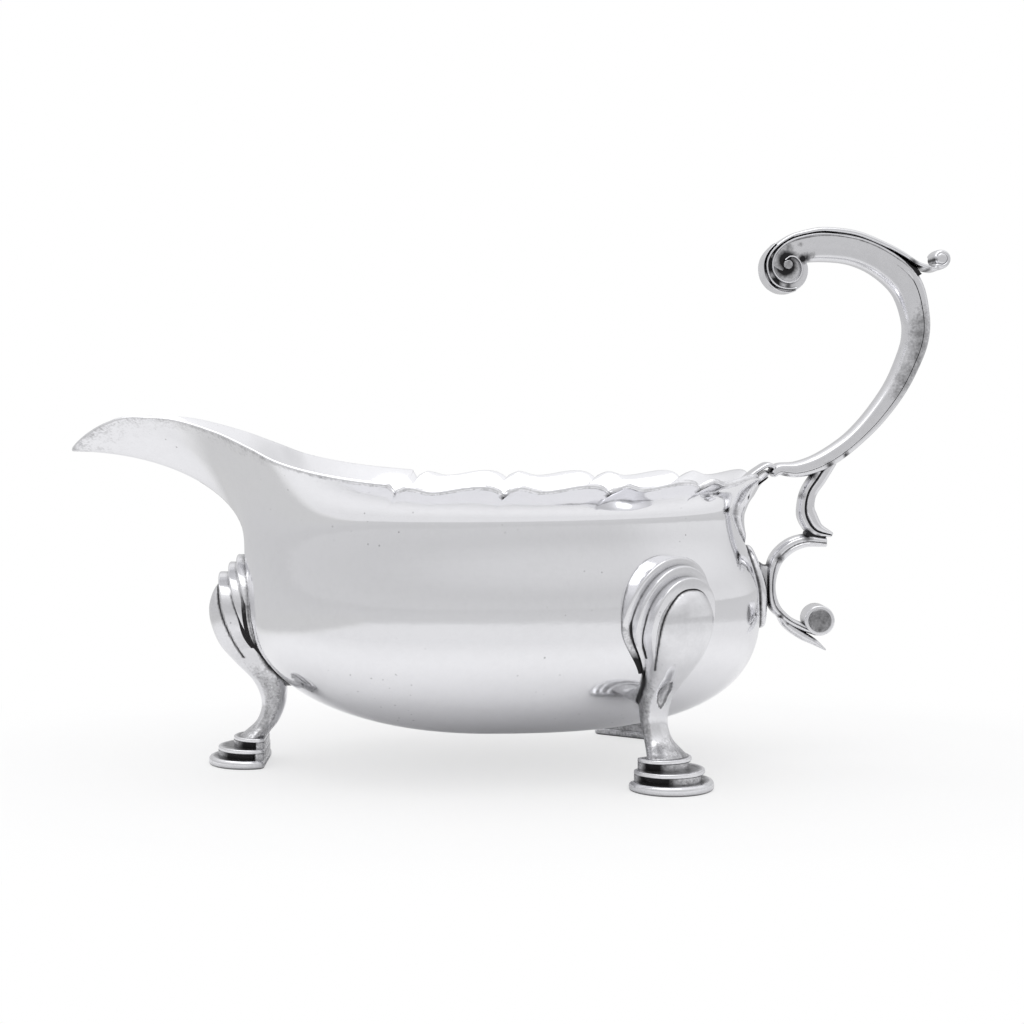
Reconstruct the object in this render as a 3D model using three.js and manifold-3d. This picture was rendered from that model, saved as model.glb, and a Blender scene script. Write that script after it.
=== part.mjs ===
// A silver sauce boat on three hoof feet, with a flying scroll handle.
// Millimetres, +Z up, the feet stand on z = 0, the spout points along -X.
import * as THREE from 'three';
import { mergeVertices } from 'three/addons/utils/BufferGeometryUtils.js';
import Module from 'manifold-3d';

const wasm = await Module();
wasm.setup();

// Fits: the space left between pieces that are soldered together on the real boat
const fitGap = 0.3;

// Bowl: its lengths are measured from the origin, forwards and backwards
const sheet = 1.2;
const bottomZ = 7.3;
const bottomX = 0.1;
const bellyZ = 36;
const bellyFront = 57.1;
const bellyRear = 53.7;
const bellyHalfWidth = 40;
const neckZ = 53.5;
const neckFront = 57.6;
const neckRear = 48.9;
const neckHalfWidth = 37.6;
const eggShift = 11.3;
const bilgeSide = 2.35;
const bilgeFront = 2.35;
const bilgeRear = 2.85;

// Rim of the bowl
const rimFront = 59.3;
const rimRear = 55.7;
const rimHalfWidth = 43.5;
const rimZ = 60.8;
const rimRearLift = 1.4;
const sideFlare = 40 * Math.PI / 180;

// Shaped border: bays between sharp notches, and a plain arch behind the handle
const bayLength = 22.1;
const bayCount = 4;
const rearArchHalf = 10.5;
const leftBorderShift = 2.4;
const notchDepth = 1.7;
const dipShare = 0.4;
const stepDepth = 0.2;
const troughDepth = 1.1;
const stepAt = 0.09;
const troughAt = 0.33;
const crestAt = 0.72;

// Spout: the rim's path at every ten degrees round the bowl, from the side to the tip of the lip
const spoutStart = 100 * Math.PI / 180;
const spoutNeckZ = 46.6;
const lipLength = 94.9;
const lipTipZ = 67;
const lipCrestZ = 74;
const lipHalfWidth = 11.4;
const spoutRim = [
  [-22.9, 43.0, rimZ + 0.1],
  [-32.1, 41.4, 61.6],
  [-40.5, 38.0, 62.9],
  [-48.1, 32.4, 64.8],
  [-54.9, 25.4, 67.5],
  [-62.9, 18.6, 70.7],
  [-73.4, lipHalfWidth + 1.4, lipCrestZ - 0.6],
  [-lipLength + 10.2, lipHalfWidth - 1.6, lipCrestZ - 1],
  [-lipLength, 0, lipTipZ],
  [-lipLength + 10.2, -(lipHalfWidth - 1.6), lipCrestZ - 1],
];

// Legs: heights from the floor, and distances out from the wall of the bowl
const rearLegAngleRight = 46.3 * Math.PI / 180;
const rearLegAngleLeft = 48.7 * Math.PI / 180;
const rearLegSplay = 34 * Math.PI / 180;
const rearLegStretch = 1.04;
const frontLegStandOff = 0.5;
const rearLegStandOff = 1.3;
const legRoot = 9;
const ankleZ = 4.8;
const kneeZ = 33;
// Layers of the foot: each has a narrower riser under its own thickness
const footLayers = [
  { bottom: 0, riser: 0, top: 1.8, radius: 8.8, toe: 7.8, heel: 5.8 },
  { bottom: 1.8, riser: 1.2, top: 3.7, radius: 7.3, toe: 5.8, heel: 5.3 },
  { bottom: 3.7, riser: 1.3, top: 5.7, radius: 5.6, toe: 2.4, heel: 4.9 },
];
const riserInset = 0.7;
const layerRound = 0.5;
const layerOverlap = 0.1;
// Stem rows: height as a share of the knee's, outer edge, inner edge and half width
const stemRows = [
  [-0.07, 1.9, -5.0, 5.3],
  [0.03, 1.4, -5.6, 5.1],
  [0.075, 0.0, -6.8, 4.2],
  [0.152, -2.3, -8.0, 3.1],
  [0.255, -3.4, -8.4, 2.85],
  [0.355, -3.1, -8.6, 3.0],
  [0.472, -1.4, -8.6, 3.5],
  [0.6, 2.1, -8.6, 4.3],
  [0.738, 5.4, -8.6, 5.7],
  [0.89, 7.2, -8.6, 6.8],
  [1.018, 7.7, -8.6, 7.1],
  [1.11, 7.35, -8.6, 6.7],
  [1.185, 6.3, -8.0, 5.2],
];
const stemTop = [1.235, 3.5];
// Fullness of the stem's section at its foot and at the bulb: 2 is an oval
const stemFullness = [2, 3.2];
// Shells of the knee, from the wall outwards: top and foot above the floor, half width, face
const kneeShells = [
  { top: 44.9, foot: 22, halfWidth: 10.8, face: 1.8 },
  { top: 43.3, foot: 21, halfWidth: 9.4, face: 3.5 },
  { top: 41.2, foot: 20, halfWidth: 8.0, face: 5.6 },
];
const shellLean = 0.018;
const shellEdge = 0.7;
const shellNarrowing = 0.45;

// Handle: places are measured from the top of the rim behind the bowl
const handleX = rimRear + 0.5;
const handleZ = rimZ + rimRearLift - 0.3;
// Flying arm: places along its middle and its depth there, from the volute down to the rim
const armHalfWidth = 3.3;
const armPath = [
  [5.3, 48.6, 5.6],
  [11.5, 49.4, 6.1],
  [17.9, 48.6, 6.0],
  [23.8, 46.0, 6.1],
  [29.2, 41.4, 6.7],
  [31.35, 35, 5.9],
  [31.4, 29.5, 5.4],
  [29.5, 23.9, 5.0],
  [26.65, 18.3, 4.6],
  [22.35, 12.5, 4.2],
  [18.0, 8.0, 3.8],
  [13.9, 4.8, 3.9],
  [9.6, 2.4, 3.8],
  [5.3, 1.2, 3.4],
  [0.35, 1.1, 2.3],
];
// Volute at the arm's upper end: a flat core, and a rib that winds in from the top to the eye
const voluteCentre = [3.2, 44.8];
const voluteRadius = 5;
const voluteHalfWidth = 4.2;
const voluteCoreHalfWidth = 3.2;
const voluteRib = 1.25;
const voluteRibPath = [
  [4.5, 51.8],
  [1.6, 50.6],
  [-0.7, 48.3],
  [-1.4, 45.9],
  [-0.8, 43.1],
  [1.0, 40.9],
  [3.4, 39.9],
  [5.8, 40.7],
  [7.4, 42.5],
  [7.6, 44.7],
  [6.5, 46.7],
  [4.7, 47.4],
  [3.2, 46.4],
  [3.7, 45.2],
];
// Cap strip that lies on the arm and ends in the thumb curl
const capThickness = 1.3;
const capHalfWidth = 3.7;
const capPath = [
  [1.9, 51.85],
  [5, 52.85],
  [11.5, 53.35],
  [18.3, 52.5],
  [24.8, 49.8],
  [28.5, 47.7],
  [32.0, 45.8],
  [35.4, 44.7],
];
const curlCentre = [36.7, 47.1];
const curlRadius = 1.7;
const curlStart = -0.66 * Math.PI;
const curlSweep = 1.5 * Math.PI;
const capTipThickness = 0.7;
// Ogee bracket between the arm and the lower scroll
const bracketHalfWidth = 2.6;
const bracketPath = [
  [12.4, 2.9, 3.4],
  [10.2, -0.6, 3.5],
  [8.2, -3.65, 3.5],
  [7.5, -6.7, 3.7],
  [8.1, -9.3, 3.9],
  [9.8, -11.3, 2.8],
  [12.8, -12.5, 0.7],
];
// Lower scroll, with its rolled end, the button let into the roll and the spur under it
const scrollHalfWidth = 2.8;
const scrollPath = [
  [11.6, -14.5, 2.1],
  [7.1, -14.3, 2.8],
  [3.4, -15.8, 3.0],
  [0.7, -18.9, 2.8],
  [-0.2, -23.8, 1.9],
  [0.5, -28.3, 2.3],
  [3.3, -31.2, 1.7],
  [6.7, -33.0, 1.6],
  [9.6, -34.1, 1.4],
];
const rollCentre = [10.1, -31.4];
const rollRadius = 3.25;
const rollHalfWidth = 3.1;
const buttonRadius = 2.5;
const buttonProud = 0.35;
const spurHalfWidth = 2.3;
const spurPath = [
  [0.3, -30.9, 0.6],
  [2.4, -32.9, 1.4],
  [6.1, -35.0, 1.5],
  [9.2, -36.5, 1.1],
  [11.3, -37.5, 0.4],
];
// Oval plate on the bowl, with the bar that carries the lower scroll
const plateTop = 46.7;
const plateFoot = 28.7;
const plateHalfWidth = 7;
const plateProud = 1.3;
const plateDepth = 4;
const barHalfHeight = 5;
const barHalfWidth = 1.8;
// Strap under the rim behind the handle, and the tongue over the rim
const strapHalfAngle = 12.5 * Math.PI / 180;
const strapThickness = 1.3;
const strapFlare = 0.35;
const strapFootShare = 0.15;
const strapFoot = 1 + (plateTop + 2 * fitGap - bellyZ) / (neckZ - bellyZ);
const tongueThickness = 1.1;
const tongueHalfWidth = 3.4;
const tongueReach = 2.5;

// Number of steps along the surfaces
const bilgeRows = 7;
const wallRows = 3;
const flareRows = 5;
const spoutColumns = 15;
const armSteps = 30;
const bayColumns = [0, stepAt, 0.2, troughAt, 0.52, crestAt, 0.88];

const lerp = (a, b, t) => a + (b - a) * t;
const smooth = (t) => t * t * (3 - 2 * t);
const clamp01 = (t) => Math.min(1, Math.max(0, t));

// Catmull-Rom spline through rows of numbers, at t from 0 to 1
function along(rows, t) {
  const span = clamp01(t) * (rows.length - 1);
  const i = Math.min(Math.floor(span), rows.length - 2);
  const w = span - i;
  const p1 = rows[i];
  const p2 = rows[i + 1];
  const p0 = rows[i - 1] ?? p1.map((v, k) => 2 * v - p2[k]);
  const p3 = rows[i + 2] ?? p2.map((v, k) => 2 * v - p1[k]);
  return p1.map((v, k) => {
    const m1 = (p2[k] - p0[k]) / 2;
    const m2 = (p3[k] - v) / 2;
    const a = 2 * v - 2 * p2[k] + m1 + m2;
    const b = -3 * v + 3 * p2[k] - 2 * m1 - m2;
    return ((a * w + b) * w + m1) * w + v;
  });
}

// Egg-shaped plan: an ellipse whose middle is pushed forwards
function plan(front, rear, halfWidth, theta) {
  const s = Math.sin(theta);
  const x = (rear - front) / 2 + (rear + front) / 2 * Math.cos(theta) - eggShift * s * s;
  return [x, halfWidth * s];
}

// Share of the way from the bowl's side to the middle of the spout
const spoutShare = (theta) => clamp01((Math.abs(theta) - spoutStart) / (Math.PI - spoutStart));

// Point of the uncut rim: the bowl's border, or the spout's, mirrored for the other side
function rimPoint(theta) {
  if (Math.abs(theta) <= spoutStart) {
    const [x, y] = plan(rimFront, rimRear, rimHalfWidth, theta);
    return [x, y, rimZ + rimRearLift * Math.max(0, Math.cos(theta)) ** 4];
  }
  const last = spoutRim.length - 2;
  const [x, y, z] = along(spoutRim, spoutShare(theta) * last / (last + 1));
  return [x, Math.sign(theta) * y, z];
}

// Length along the rim from the back of the bowl, as a table of angle and length
const rimSteps = 600;
const rimTable = [[0, 0]];
for (let i = 1; i <= rimSteps; i++) {
  const a = rimPoint(Math.PI * (i - 1) / rimSteps);
  const b = rimPoint(Math.PI * i / rimSteps);
  rimTable.push([Math.PI * i / rimSteps, rimTable[i - 1][1] + Math.hypot(b[0] - a[0], b[1] - a[1])]);
}
function rimLength(theta) {
  const i = Math.min(rimSteps - 1, Math.floor(Math.abs(theta) / Math.PI * rimSteps));
  return lerp(rimTable[i][1], rimTable[i + 1][1], Math.abs(theta) / Math.PI * rimSteps - i);
}
function rimAngle(length) {
  const i = rimTable.findIndex((row) => row[1] >= length);
  if (i < 1) return i < 0 ? Math.PI : 0;
  const [a, b] = [rimTable[i - 1], rimTable[i]];
  return lerp(a[0], b[0], (length - a[1]) / (b[1] - a[1]));
}
const borderEnd = rearArchHalf + bayCount * bayLength;

// Depth that the shaped border is cut below the uncut rim. The border of the left side is
// moved a little towards the handle, as it is on a boat that was filed by hand
function borderCut(theta) {
  const length = rimLength(theta) + (theta > 0 ? Math.min(leftBorderShift, rimLength(theta)) : 0);
  if (length < rearArchHalf) return notchDepth * (length / rearArchHalf) ** 3;
  if (length > borderEnd) {
    const past = (length - borderEnd) / bayLength;
    return notchDepth * Math.max(0, 1 - past / stepAt) ** 1.5;
  }
  const fromRear = (length - rearArchHalf) / bayLength;
  const b = 1 - (fromRear - Math.floor(fromRear));
  const ease = (t) => (1 - Math.cos(Math.PI * t)) / 2;
  if (b < stepAt) return lerp(notchDepth, stepDepth, Math.sqrt(b / stepAt));
  if (b < troughAt) return lerp(stepDepth, troughDepth, ease((b - stepAt) / (troughAt - stepAt)));
  if (b < crestAt) return lerp(troughDepth, 0, ease((b - troughAt) / (crestAt - troughAt)));
  return notchDepth * ((b - crestAt) / (1 - crestAt)) ** 2.2;
}

// Point of the bowl's outside. Level 0 to 1 is the bilge, 1 to 2 the wall, 2 to 3 the flare,
// which ends at the border's cut
function bowlPoint(theta, level, cut = borderCut(theta)) {
  const belly = plan(bellyFront, bellyRear, bellyHalfWidth, theta);
  if (level <= 1) {
    const end = Math.cos(theta) > 0 ? bilgeRear : bilgeFront;
    const p = lerp(bilgeSide, end, Math.cos(theta) ** 2);
    const s = Math.sin(level * Math.PI / 2);
    const c = Math.cos(level * Math.PI / 2);
    const r = (s ** p + Math.abs(c) ** p) ** (-1 / p);
    return [lerp(bottomX, belly[0], s * r), belly[1] * s * r, bellyZ - (bellyZ - bottomZ) * c * r];
  }
  const share = smooth(spoutShare(theta));
  const neck = plan(neckFront, neckRear, neckHalfWidth, theta);
  const neckHeight = lerp(neckZ, spoutNeckZ, share);
  if (level <= 2) {
    const k = smooth(level - 1);
    return [lerp(belly[0], neck[0], k), lerp(belly[1], neck[1], k), lerp(bellyZ, neckHeight, level - 1)];
  }
  const rim = rimPoint(theta);
  const bend = lerp(sideFlare, Math.PI / 2, share ** 4);
  const rise = Math.max(0.5, (rim[2] - neckHeight) * bend * Math.cos(bend) / Math.sin(bend));
  const reach = (level - 2) * (1 - (1 - dipShare) * cut / rise);
  const out = (1 - Math.cos(bend * reach)) / (1 - Math.cos(bend));
  const up = Math.sin(bend * reach) / Math.sin(bend);
  const dip = dipShare * cut * (level - 2) ** 3;
  return [lerp(neck[0], rim[0], out), lerp(neck[1], rim[1], out), lerp(neckHeight, rim[2], up) - dip];
}

// The same point moved off the surface by an offset, outwards where it is positive
function offsetPoint(theta, level, offset) {
  const step = 1e-3;
  const lift = Math.max(level, 0.02);
  const low = level > 2.99 ? lift - step : lift;
  const cut = borderCut(theta);
  const point = new THREE.Vector3(...bowlPoint(theta, level));
  const across = new THREE.Vector3(...bowlPoint(theta + step, low, cut));
  const up = new THREE.Vector3(...bowlPoint(theta, low + step, cut));
  across.sub(new THREE.Vector3(...bowlPoint(theta - step, low, cut)));
  up.sub(new THREE.Vector3(...bowlPoint(theta, low, cut)));
  const normal = level === 0 ? new THREE.Vector3(0, 0, -1) : across.cross(up).normalize();
  return point.addScaledVector(normal, offset).toArray();
}

// Closed body from rings of points, each closed at its end by a fan
function ringBody(rings, firstPole, lastPole) {
  const n = rings[0].length;
  const positions = [firstPole, ...rings.flat(), lastPole].flat();
  const last = 1 + rings.length * n;
  const index = [];
  for (let j = 0; j < n; j++) {
    const k = (j + 1) % n;
    index.push(0, 1 + k, 1 + j, last, last - n + j, last - n + k);
    for (let i = 0; i + 1 < rings.length; i++) {
      const a = 1 + i * n;
      index.push(a + j, a + k, a + n + k, a + j, a + n + k, a + n + j);
    }
  }
  const geometry = new THREE.BufferGeometry();
  geometry.setAttribute('position', new THREE.Float32BufferAttribute(positions, 3));
  geometry.setIndex(index);
  return toSolid(geometry);
}

// A solid from a closed geometry, and a geometry from a solid
function toSolid(source) {
  const bare = source.clone();
  bare.deleteAttribute('normal');
  bare.deleteAttribute('uv');
  const merged = mergeVertices(bare, 1e-4);
  const index = Array.from(merged.index.array);
  const triangles = [];
  for (let i = 0; i < index.length; i += 3) {
    const [a, b, c] = index.slice(i, i + 3);
    if (a !== b && b !== c && c !== a) triangles.push(a, b, c);
  }
  const solid = new wasm.Manifold(new wasm.Mesh({
    numProp: 3,
    vertProperties: new Float32Array(merged.attributes.position.array),
    triVerts: new Uint32Array(triangles),
  }));
  if (solid.volume() >= 0) return solid;
  for (let i = 0; i < triangles.length; i += 3) {
    [triangles[i], triangles[i + 1]] = [triangles[i + 1], triangles[i]];
  }
  merged.setIndex(triangles);
  return toSolid(merged);
}
function toGeometry(solid) {
  const mesh = solid.getMesh();
  const geometry = new THREE.BufferGeometry();
  geometry.setAttribute('position', new THREE.BufferAttribute(new Float32Array(mesh.vertProperties), 3));
  geometry.setIndex(new THREE.BufferAttribute(new Uint32Array(mesh.triVerts), 1));
  geometry.computeVertexNormals();
  return geometry;
}

// The largest body of a cut piece: a cut through a thin edge can leave crumbs beside it
function largest(solid) {
  return solid.decompose().reduce((best, body) => (body.volume() > best.volume() ? body : best));
}

// Angles of the columns along one side of the bowl, with one at each notch of the border
function sideAngles(shift) {
  const side = [];
  const arch = rearArchHalf - shift;
  for (let i = 0; i < 4; i++) side.push(rimAngle(arch * i / 4));
  for (let bay = 0; bay < bayCount; bay++) {
    for (const b of bayColumns) side.push(rimAngle(arch + (bay + (b ? 1 - b : 0)) * bayLength));
  }
  for (let i = 0; i < spoutColumns; i++) {
    side.push(rimAngle(lerp(borderEnd - shift, rimTable[rimSteps][1], i / spoutColumns)));
  }
  return [...new Set(side.map((v) => Number(v.toFixed(6))))].sort((a, b) => a - b);
}
const rightAngles = sideAngles(0).slice(1).reverse().map((v) => -v);
const columns = [...sideAngles(leftBorderShift), Math.PI, ...rightAngles];

// Levels up the bowl's surface, from just above the bottom to the rim
function levels(top) {
  const rows = [];
  for (let i = 1; i <= bilgeRows; i++) rows.push(i / bilgeRows);
  for (let i = 1; i <= wallRows; i++) rows.push(1 + i / wallRows);
  for (let i = 1; i <= flareRows; i++) rows.push(2 + i / flareRows);
  return rows.filter((v) => v <= top + 1e-9);
}

// Bowl: one raised sheet, its outside, its edge and its inside, grown on both faces by an offset
function bowlSheet(grow) {
  const depth = -sheet - grow;
  const outside = levels(3).map((level) => columns.map((t) => offsetPoint(t, level, grow)));
  const inside = levels(3).map((level) => columns.map((t) => offsetPoint(t, level, depth)));
  return ringBody([...outside, ...inside.reverse()], offsetPoint(0, 0, grow), offsetPoint(0, 0, depth));
}

// Solid block of the bowl's outside, grown by an offset, that fitted pieces are cut with
function bowlBlock(offset, top) {
  const rings = levels(top).map((level) => columns.map((t) => offsetPoint(t, level, offset)));
  const height = rings.at(-1)[0][2];
  return ringBody(rings, offsetPoint(0, 0, offset), [0, 0, height]);
}
const bowlClearance = bowlBlock(fitGap, 2);

// Stem of a leg: the knee's bulb, the shank and the ankle, as oval rows
function legStem() {
  const height = (share) => lerp(ankleZ, kneeZ, share);
  const sides = 16;
  const rows = stemRows.map(([share, outer, inner, halfWidth]) => {
    const middle = (outer + inner) / 2;
    const depth = (outer - inner) / 2;
    const power = 2 / lerp(...stemFullness, smooth(clamp01(share)));
    const full = (v) => Math.sign(v) * Math.abs(v) ** power;
    return Array.from({ length: sides }, (_, j) => {
      const a = 2 * Math.PI * j / sides;
      return [middle + depth * full(Math.cos(a)), halfWidth * full(Math.sin(a)), height(share)];
    });
  });
  return ringBody(rows, [-2, 0, height(stemRows[0][0])], [stemTop[1], 0, height(stemTop[0])]);
}

// One shell of the knee: a drop-shaped plate whose face leans back towards its foot
function kneeShell({ top, foot, halfWidth, face }) {
  const sides = 18;
  const outline = (share, out) => Array.from({ length: sides }, (_, j) => {
    const a = 2 * Math.PI * j / sides;
    const up = Math.sin(a);
    const reach = up > 0 ? top - kneeZ : kneeZ - foot;
    const taper = up < 0 ? 1 - shellNarrowing * (-up) ** 1.5 : 1;
    const z = kneeZ + reach * up * share;
    return [out(z), halfWidth * Math.cos(a) * taper * share, z];
  });
  const front = (drop) => (z) => face - drop - shellLean * (top - z) ** 2;
  const rings = [
    outline(1, () => -legRoot),
    outline(1, front(shellEdge)),
    outline(0.93, front(0.12)),
    outline(0.5, front(0)),
  ];
  return ringBody(rings, [-legRoot, 0, kneeZ], [front(0)(kneeZ), 0, kneeZ]);
}

// One layer of the foot: a round toe with a straight heel, on a riser that is set in all round
function footLayer({ bottom, riser, top, radius, toe, heel }) {
  const sides = 18;
  const middle = toe - radius;
  const sweep = Math.PI - Math.acos(Math.min(1, (heel + middle) / radius));
  const outline = (r, z) => Array.from({ length: sides }, (_, j) => {
    const a = lerp(-sweep, sweep, j / (sides - 1));
    return [Math.max(-heel, middle + r * Math.cos(a)), r * Math.sin(a), z];
  });
  const low = riser > 0 ? bottom - layerOverlap : bottom;
  const rings = [outline(radius, top - layerRound), outline(radius - layerRound / 2, top)];
  if (riser > 0) {
    const inset = radius - riserInset;
    rings.unshift(outline(inset, low), outline(inset, bottom + riser), outline(radius, bottom + riser));
  } else {
    rings.unshift(outline(radius - layerRound / 2, low), outline(radius, low + layerRound));
  }
  return ringBody(rings, [0, 0, low], [0, 0, top]);
}

// Whole leg in its own frame: x out from the bowl, y across, z up
const legTemplate = [...kneeShells.map(kneeShell), ...footLayers.map(footLayer)]
  .reduce((body, piece) => body.add(piece), legStem());

// The leg turned to face outwards at a place on the belly, and cut to the bowl
function makeLeg(theta, heading, standOff, stretch) {
  const [x, y] = bowlPoint(theta, 1);
  const place = [x + standOff * Math.cos(heading), y + standOff * Math.sin(heading), 0];
  const leg = legTemplate.scale([1, 1, stretch]).rotate([0, 0, heading * 180 / Math.PI]).translate(place);
  return leg.subtract(bowlClearance);
}

const rearLeg = (side, angle) => {
  const heading = side * (Math.PI / 2 - rearLegSplay);
  return makeLeg(side * angle, heading, rearLegStandOff, rearLegStretch);
};

// Bar in the plane of the handle. The section goes round from its inner edge to its outer one:
// a share of the depth, and a share of the half width
const plainSection = [[0, 0.6], [0.18, 1], [0.82, 1], [1, 0.6]];
const armSection = [[0, 0.45], [0.22, 1], [0.74, 1], [0.79, 0.82], [0.84, 1], [1, 0.85]];
function bar(path, halfWidth, { steps, section = plainSection, grow = 0 }) {
  const ring = [...section, ...section.map(([d, w]) => [d, -w]).reverse()];
  const rings = [];
  const ends = [];
  for (let i = 0; i <= steps; i++) {
    const t = i / steps;
    const [x, z, depth] = along(path, t);
    const [ax, az] = along(path, t - 1e-4);
    const [bx, bz] = along(path, t + 1e-4);
    const run = Math.hypot(bx - ax, bz - az);
    const [nx, nz] = [-(bz - az) / run, (bx - ax) / run];
    const full = depth + 2 * grow;
    rings.push(ring.map(([d, w]) => {
      const off = (d - 0.5) * full;
      return [handleX + x + nx * off, w * halfWidth + Math.sign(w) * grow, handleZ + z + nz * off];
    }));
    ends.push([handleX + x, 0, handleZ + z]);
  }
  return ringBody(rings, ends[0], ends.at(-1));
}

// Round boss across the handle's plane
function boss([x, z], radius, halfWidth, sides = 28) {
  const geometry = new THREE.CylinderGeometry(radius, radius, 2 * halfWidth, sides);
  geometry.translate(handleX + x, 0, handleZ + z);
  return toSolid(geometry);
}

// Rib of the volute
function voluteSpiral() {
  const path = voluteRibPath.map(([x, z]) => [x, z, voluteRib]);
  return bar(path, voluteHalfWidth, { steps: 42 });
}

// Arm: the bar and the volute's core
function armBody(grow) {
  const sweep = bar(armPath, armHalfWidth, { steps: armSteps, section: armSection, grow });
  const core = boss(voluteCentre, voluteRadius + grow, voluteCoreHalfWidth + grow);
  return sweep.add(core);
}

// Cap: a strip that curls inwards round a core at its outer end
function capBody(grow) {
  const turns = 8;
  const curl = [];
  for (let i = 0; i <= turns; i++) {
    const angle = curlStart + curlSweep * i / turns;
    const r = curlRadius * (1 - 0.25 * i / turns);
    curl.push([curlCentre[0] + r * Math.cos(angle), curlCentre[1] + r * Math.sin(angle)]);
  }
  const line = [...capPath, ...curl].map(([x, z], i) => [x, z, i ? capThickness : capTipThickness]);
  const strip = bar(line, capHalfWidth, { steps: 38, grow });
  return strip.add(boss(curlCentre, curlRadius, capHalfWidth * 0.9 + grow, 16));
}
const cap = capBody(0);

// Strap: a plate that follows the outside of the bowl from the wall up to the rim
function strapBody(grow) {
  const across = 8;
  const up = 8;
  const grid = (offset) => Array.from({ length: up + 1 }, (_, i) => {
    const level = lerp(strapFoot, 3, i / up);
    const widening = 1 + strapFlare * clamp01(level - 2) ** 2;
    const risen = clamp01((level - strapFoot) / (2 - strapFoot));
    const narrowing = Math.sqrt(lerp(strapFootShare, 1, risen));
    return Array.from({ length: across + 1 }, (__, j) => {
      const t = (2 * j / across - 1) * strapHalfAngle * widening * narrowing;
      return offsetPoint(t, level, offset);
    });
  });
  const inner = grid(-sheet / 2);
  const outer = grid(fitGap + strapThickness + grow);
  const rings = inner.map((row, i) => [...row, ...outer[i].slice().reverse()]);
  const centre = (ring) => [0, 1, 2].map((k) => ring.reduce((sum, p) => sum + p[k], 0) / ring.length);
  return ringBody(rings, centre(rings[0]), centre(rings.at(-1)));
}

// Tongue: it lies on the flare inside the bowl, goes over the rim and ends in front of the arm
function tongueBody() {
  const half = tongueThickness / 2;
  const away = fitGap + half;
  const points = [];
  for (let i = 0; i <= 4; i++) {
    const [x, , z] = offsetPoint(0, lerp(tongueReach, 3, i / 4), -(sheet + away));
    points.push([x, z]);
  }
  const [edgeX, , edgeZ] = offsetPoint(0, 3, -sheet);
  const armEnd = handleX + armPath.at(-1)[0];
  points.push([edgeX + half, edgeZ + away]);
  points.push([armEnd - 2 * fitGap, edgeZ + half / 2]);
  const path = points.map(([x, z]) => [x - handleX, z - handleZ, tongueThickness]);
  return bar(path, tongueHalfWidth, { steps: 14 });
}

// How far back the bowl's rear wall lies at a height near the belly
function rearWallX(z) {
  if (z > bellyZ) return bowlPoint(0, 1 + (z - bellyZ) / (neckZ - bellyZ))[0];
  const drop = (bellyZ - z) / (bellyZ - bottomZ);
  return lerp(bottomX, bellyRear, (1 - drop ** bilgeRear) ** (1 / bilgeRear));
}

// Back plate: an oval cushion on the bowl, with the bar out to the lower scroll
function backPlateBody() {
  const middle = (plateTop + plateFoot) / 2;
  const halfHeight = (plateTop - plateFoot) / 2;
  const sides = 28;
  const wallX = bowlPoint(0, 1)[0];
  const oval = (share, out) => Array.from({ length: sides }, (_, j) => {
    const a = 2 * Math.PI * j / sides;
    const y = plateHalfWidth * share * Math.cos(a);
    const z = middle + halfHeight * share * Math.sin(a);
    return [rearWallX(z) - y * y / bellyRear + out, y, z];
  });
  const proud = fitGap + plateProud;
  const rings = [oval(1, -plateDepth), oval(1, proud * 0.55), oval(0.9, proud), oval(0.45, proud + 0.1)];
  const plate = ringBody(rings, [wallX - plateDepth, 0, middle], [wallX + proud, 0, middle]);
  const scrollX = handleX + scrollPath[4][0];
  const barBlock = new THREE.BoxGeometry(scrollX - wallX, 2 * barHalfWidth, 2 * barHalfHeight);
  const barZ = handleZ + scrollPath[4][1];
  barBlock.translate((scrollX + wallX) / 2, 0, barZ);
  return plate.add(toSolid(barBlock)).subtract(bowlClearance);
}

// Lower scroll: the bar and its rolled end
function scrollBody(grow) {
  const sweep = bar(scrollPath, scrollHalfWidth, { steps: 30, grow });
  return sweep.add(boss(rollCentre, rollRadius + grow, rollHalfWidth + grow));
}

const sheetClearance = bowlSheet(fitGap);
const strap = largest(strapBody(0).subtract(sheetClearance).subtract(bowlBlock(fitGap, 3)));
const arm = armBody(0).add(voluteSpiral()).subtract(capBody(fitGap)).subtract(strapBody(fitGap));
const bore = boss(rollCentre, buttonRadius + fitGap, rollHalfWidth + 1);
const scroll = scrollBody(0).subtract(bore);
const button = boss(rollCentre, buttonRadius, rollHalfWidth + buttonProud);
const bracket = bar(bracketPath, bracketHalfWidth, { steps: 18 })
  .subtract(armBody(fitGap))
  .subtract(scrollBody(fitGap));
const spur = bar(spurPath, spurHalfWidth, { steps: 14 }).subtract(scrollBody(fitGap));
const backPlate = backPlateBody().subtract(scrollBody(fitGap));
const tongue = largest(tongueBody().subtract(sheetClearance));

// Polished sheet, and the cast parts that are a little duller
const sheetSilver = new THREE.MeshStandardMaterial({ color: 0xdcdce0, metalness: 1, roughness: 0.12 });
const castSilver = new THREE.MeshStandardMaterial({ color: 0xc9c9cd, metalness: 1, roughness: 0.2 });

const pieces = {
  bowl: [bowlSheet(0), sheetSilver],
  front_leg: [makeLeg(Math.PI, Math.PI, frontLegStandOff, 1), castSilver],
  rear_leg_right: [rearLeg(-1, rearLegAngleRight), castSilver],
  rear_leg_left: [rearLeg(1, rearLegAngleLeft), castSilver],
  handle_arm: [arm, castSilver],
  handle_cap: [cap, castSilver],
  handle_bracket: [bracket, castSilver],
  lower_scroll: [scroll, castSilver],
  scroll_button: [button, castSilver],
  scroll_spur: [spur, castSilver],
  back_plate: [backPlate, castSilver],
  rear_strap: [strap, castSilver],
  rim_tongue: [tongue, castSilver],
};

const group = new THREE.Group();
for (const [name, [solid, material]] of Object.entries(pieces)) {
  const mesh = new THREE.Mesh(toGeometry(solid), material);
  mesh.name = name;
  group.add(mesh);
}

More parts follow.
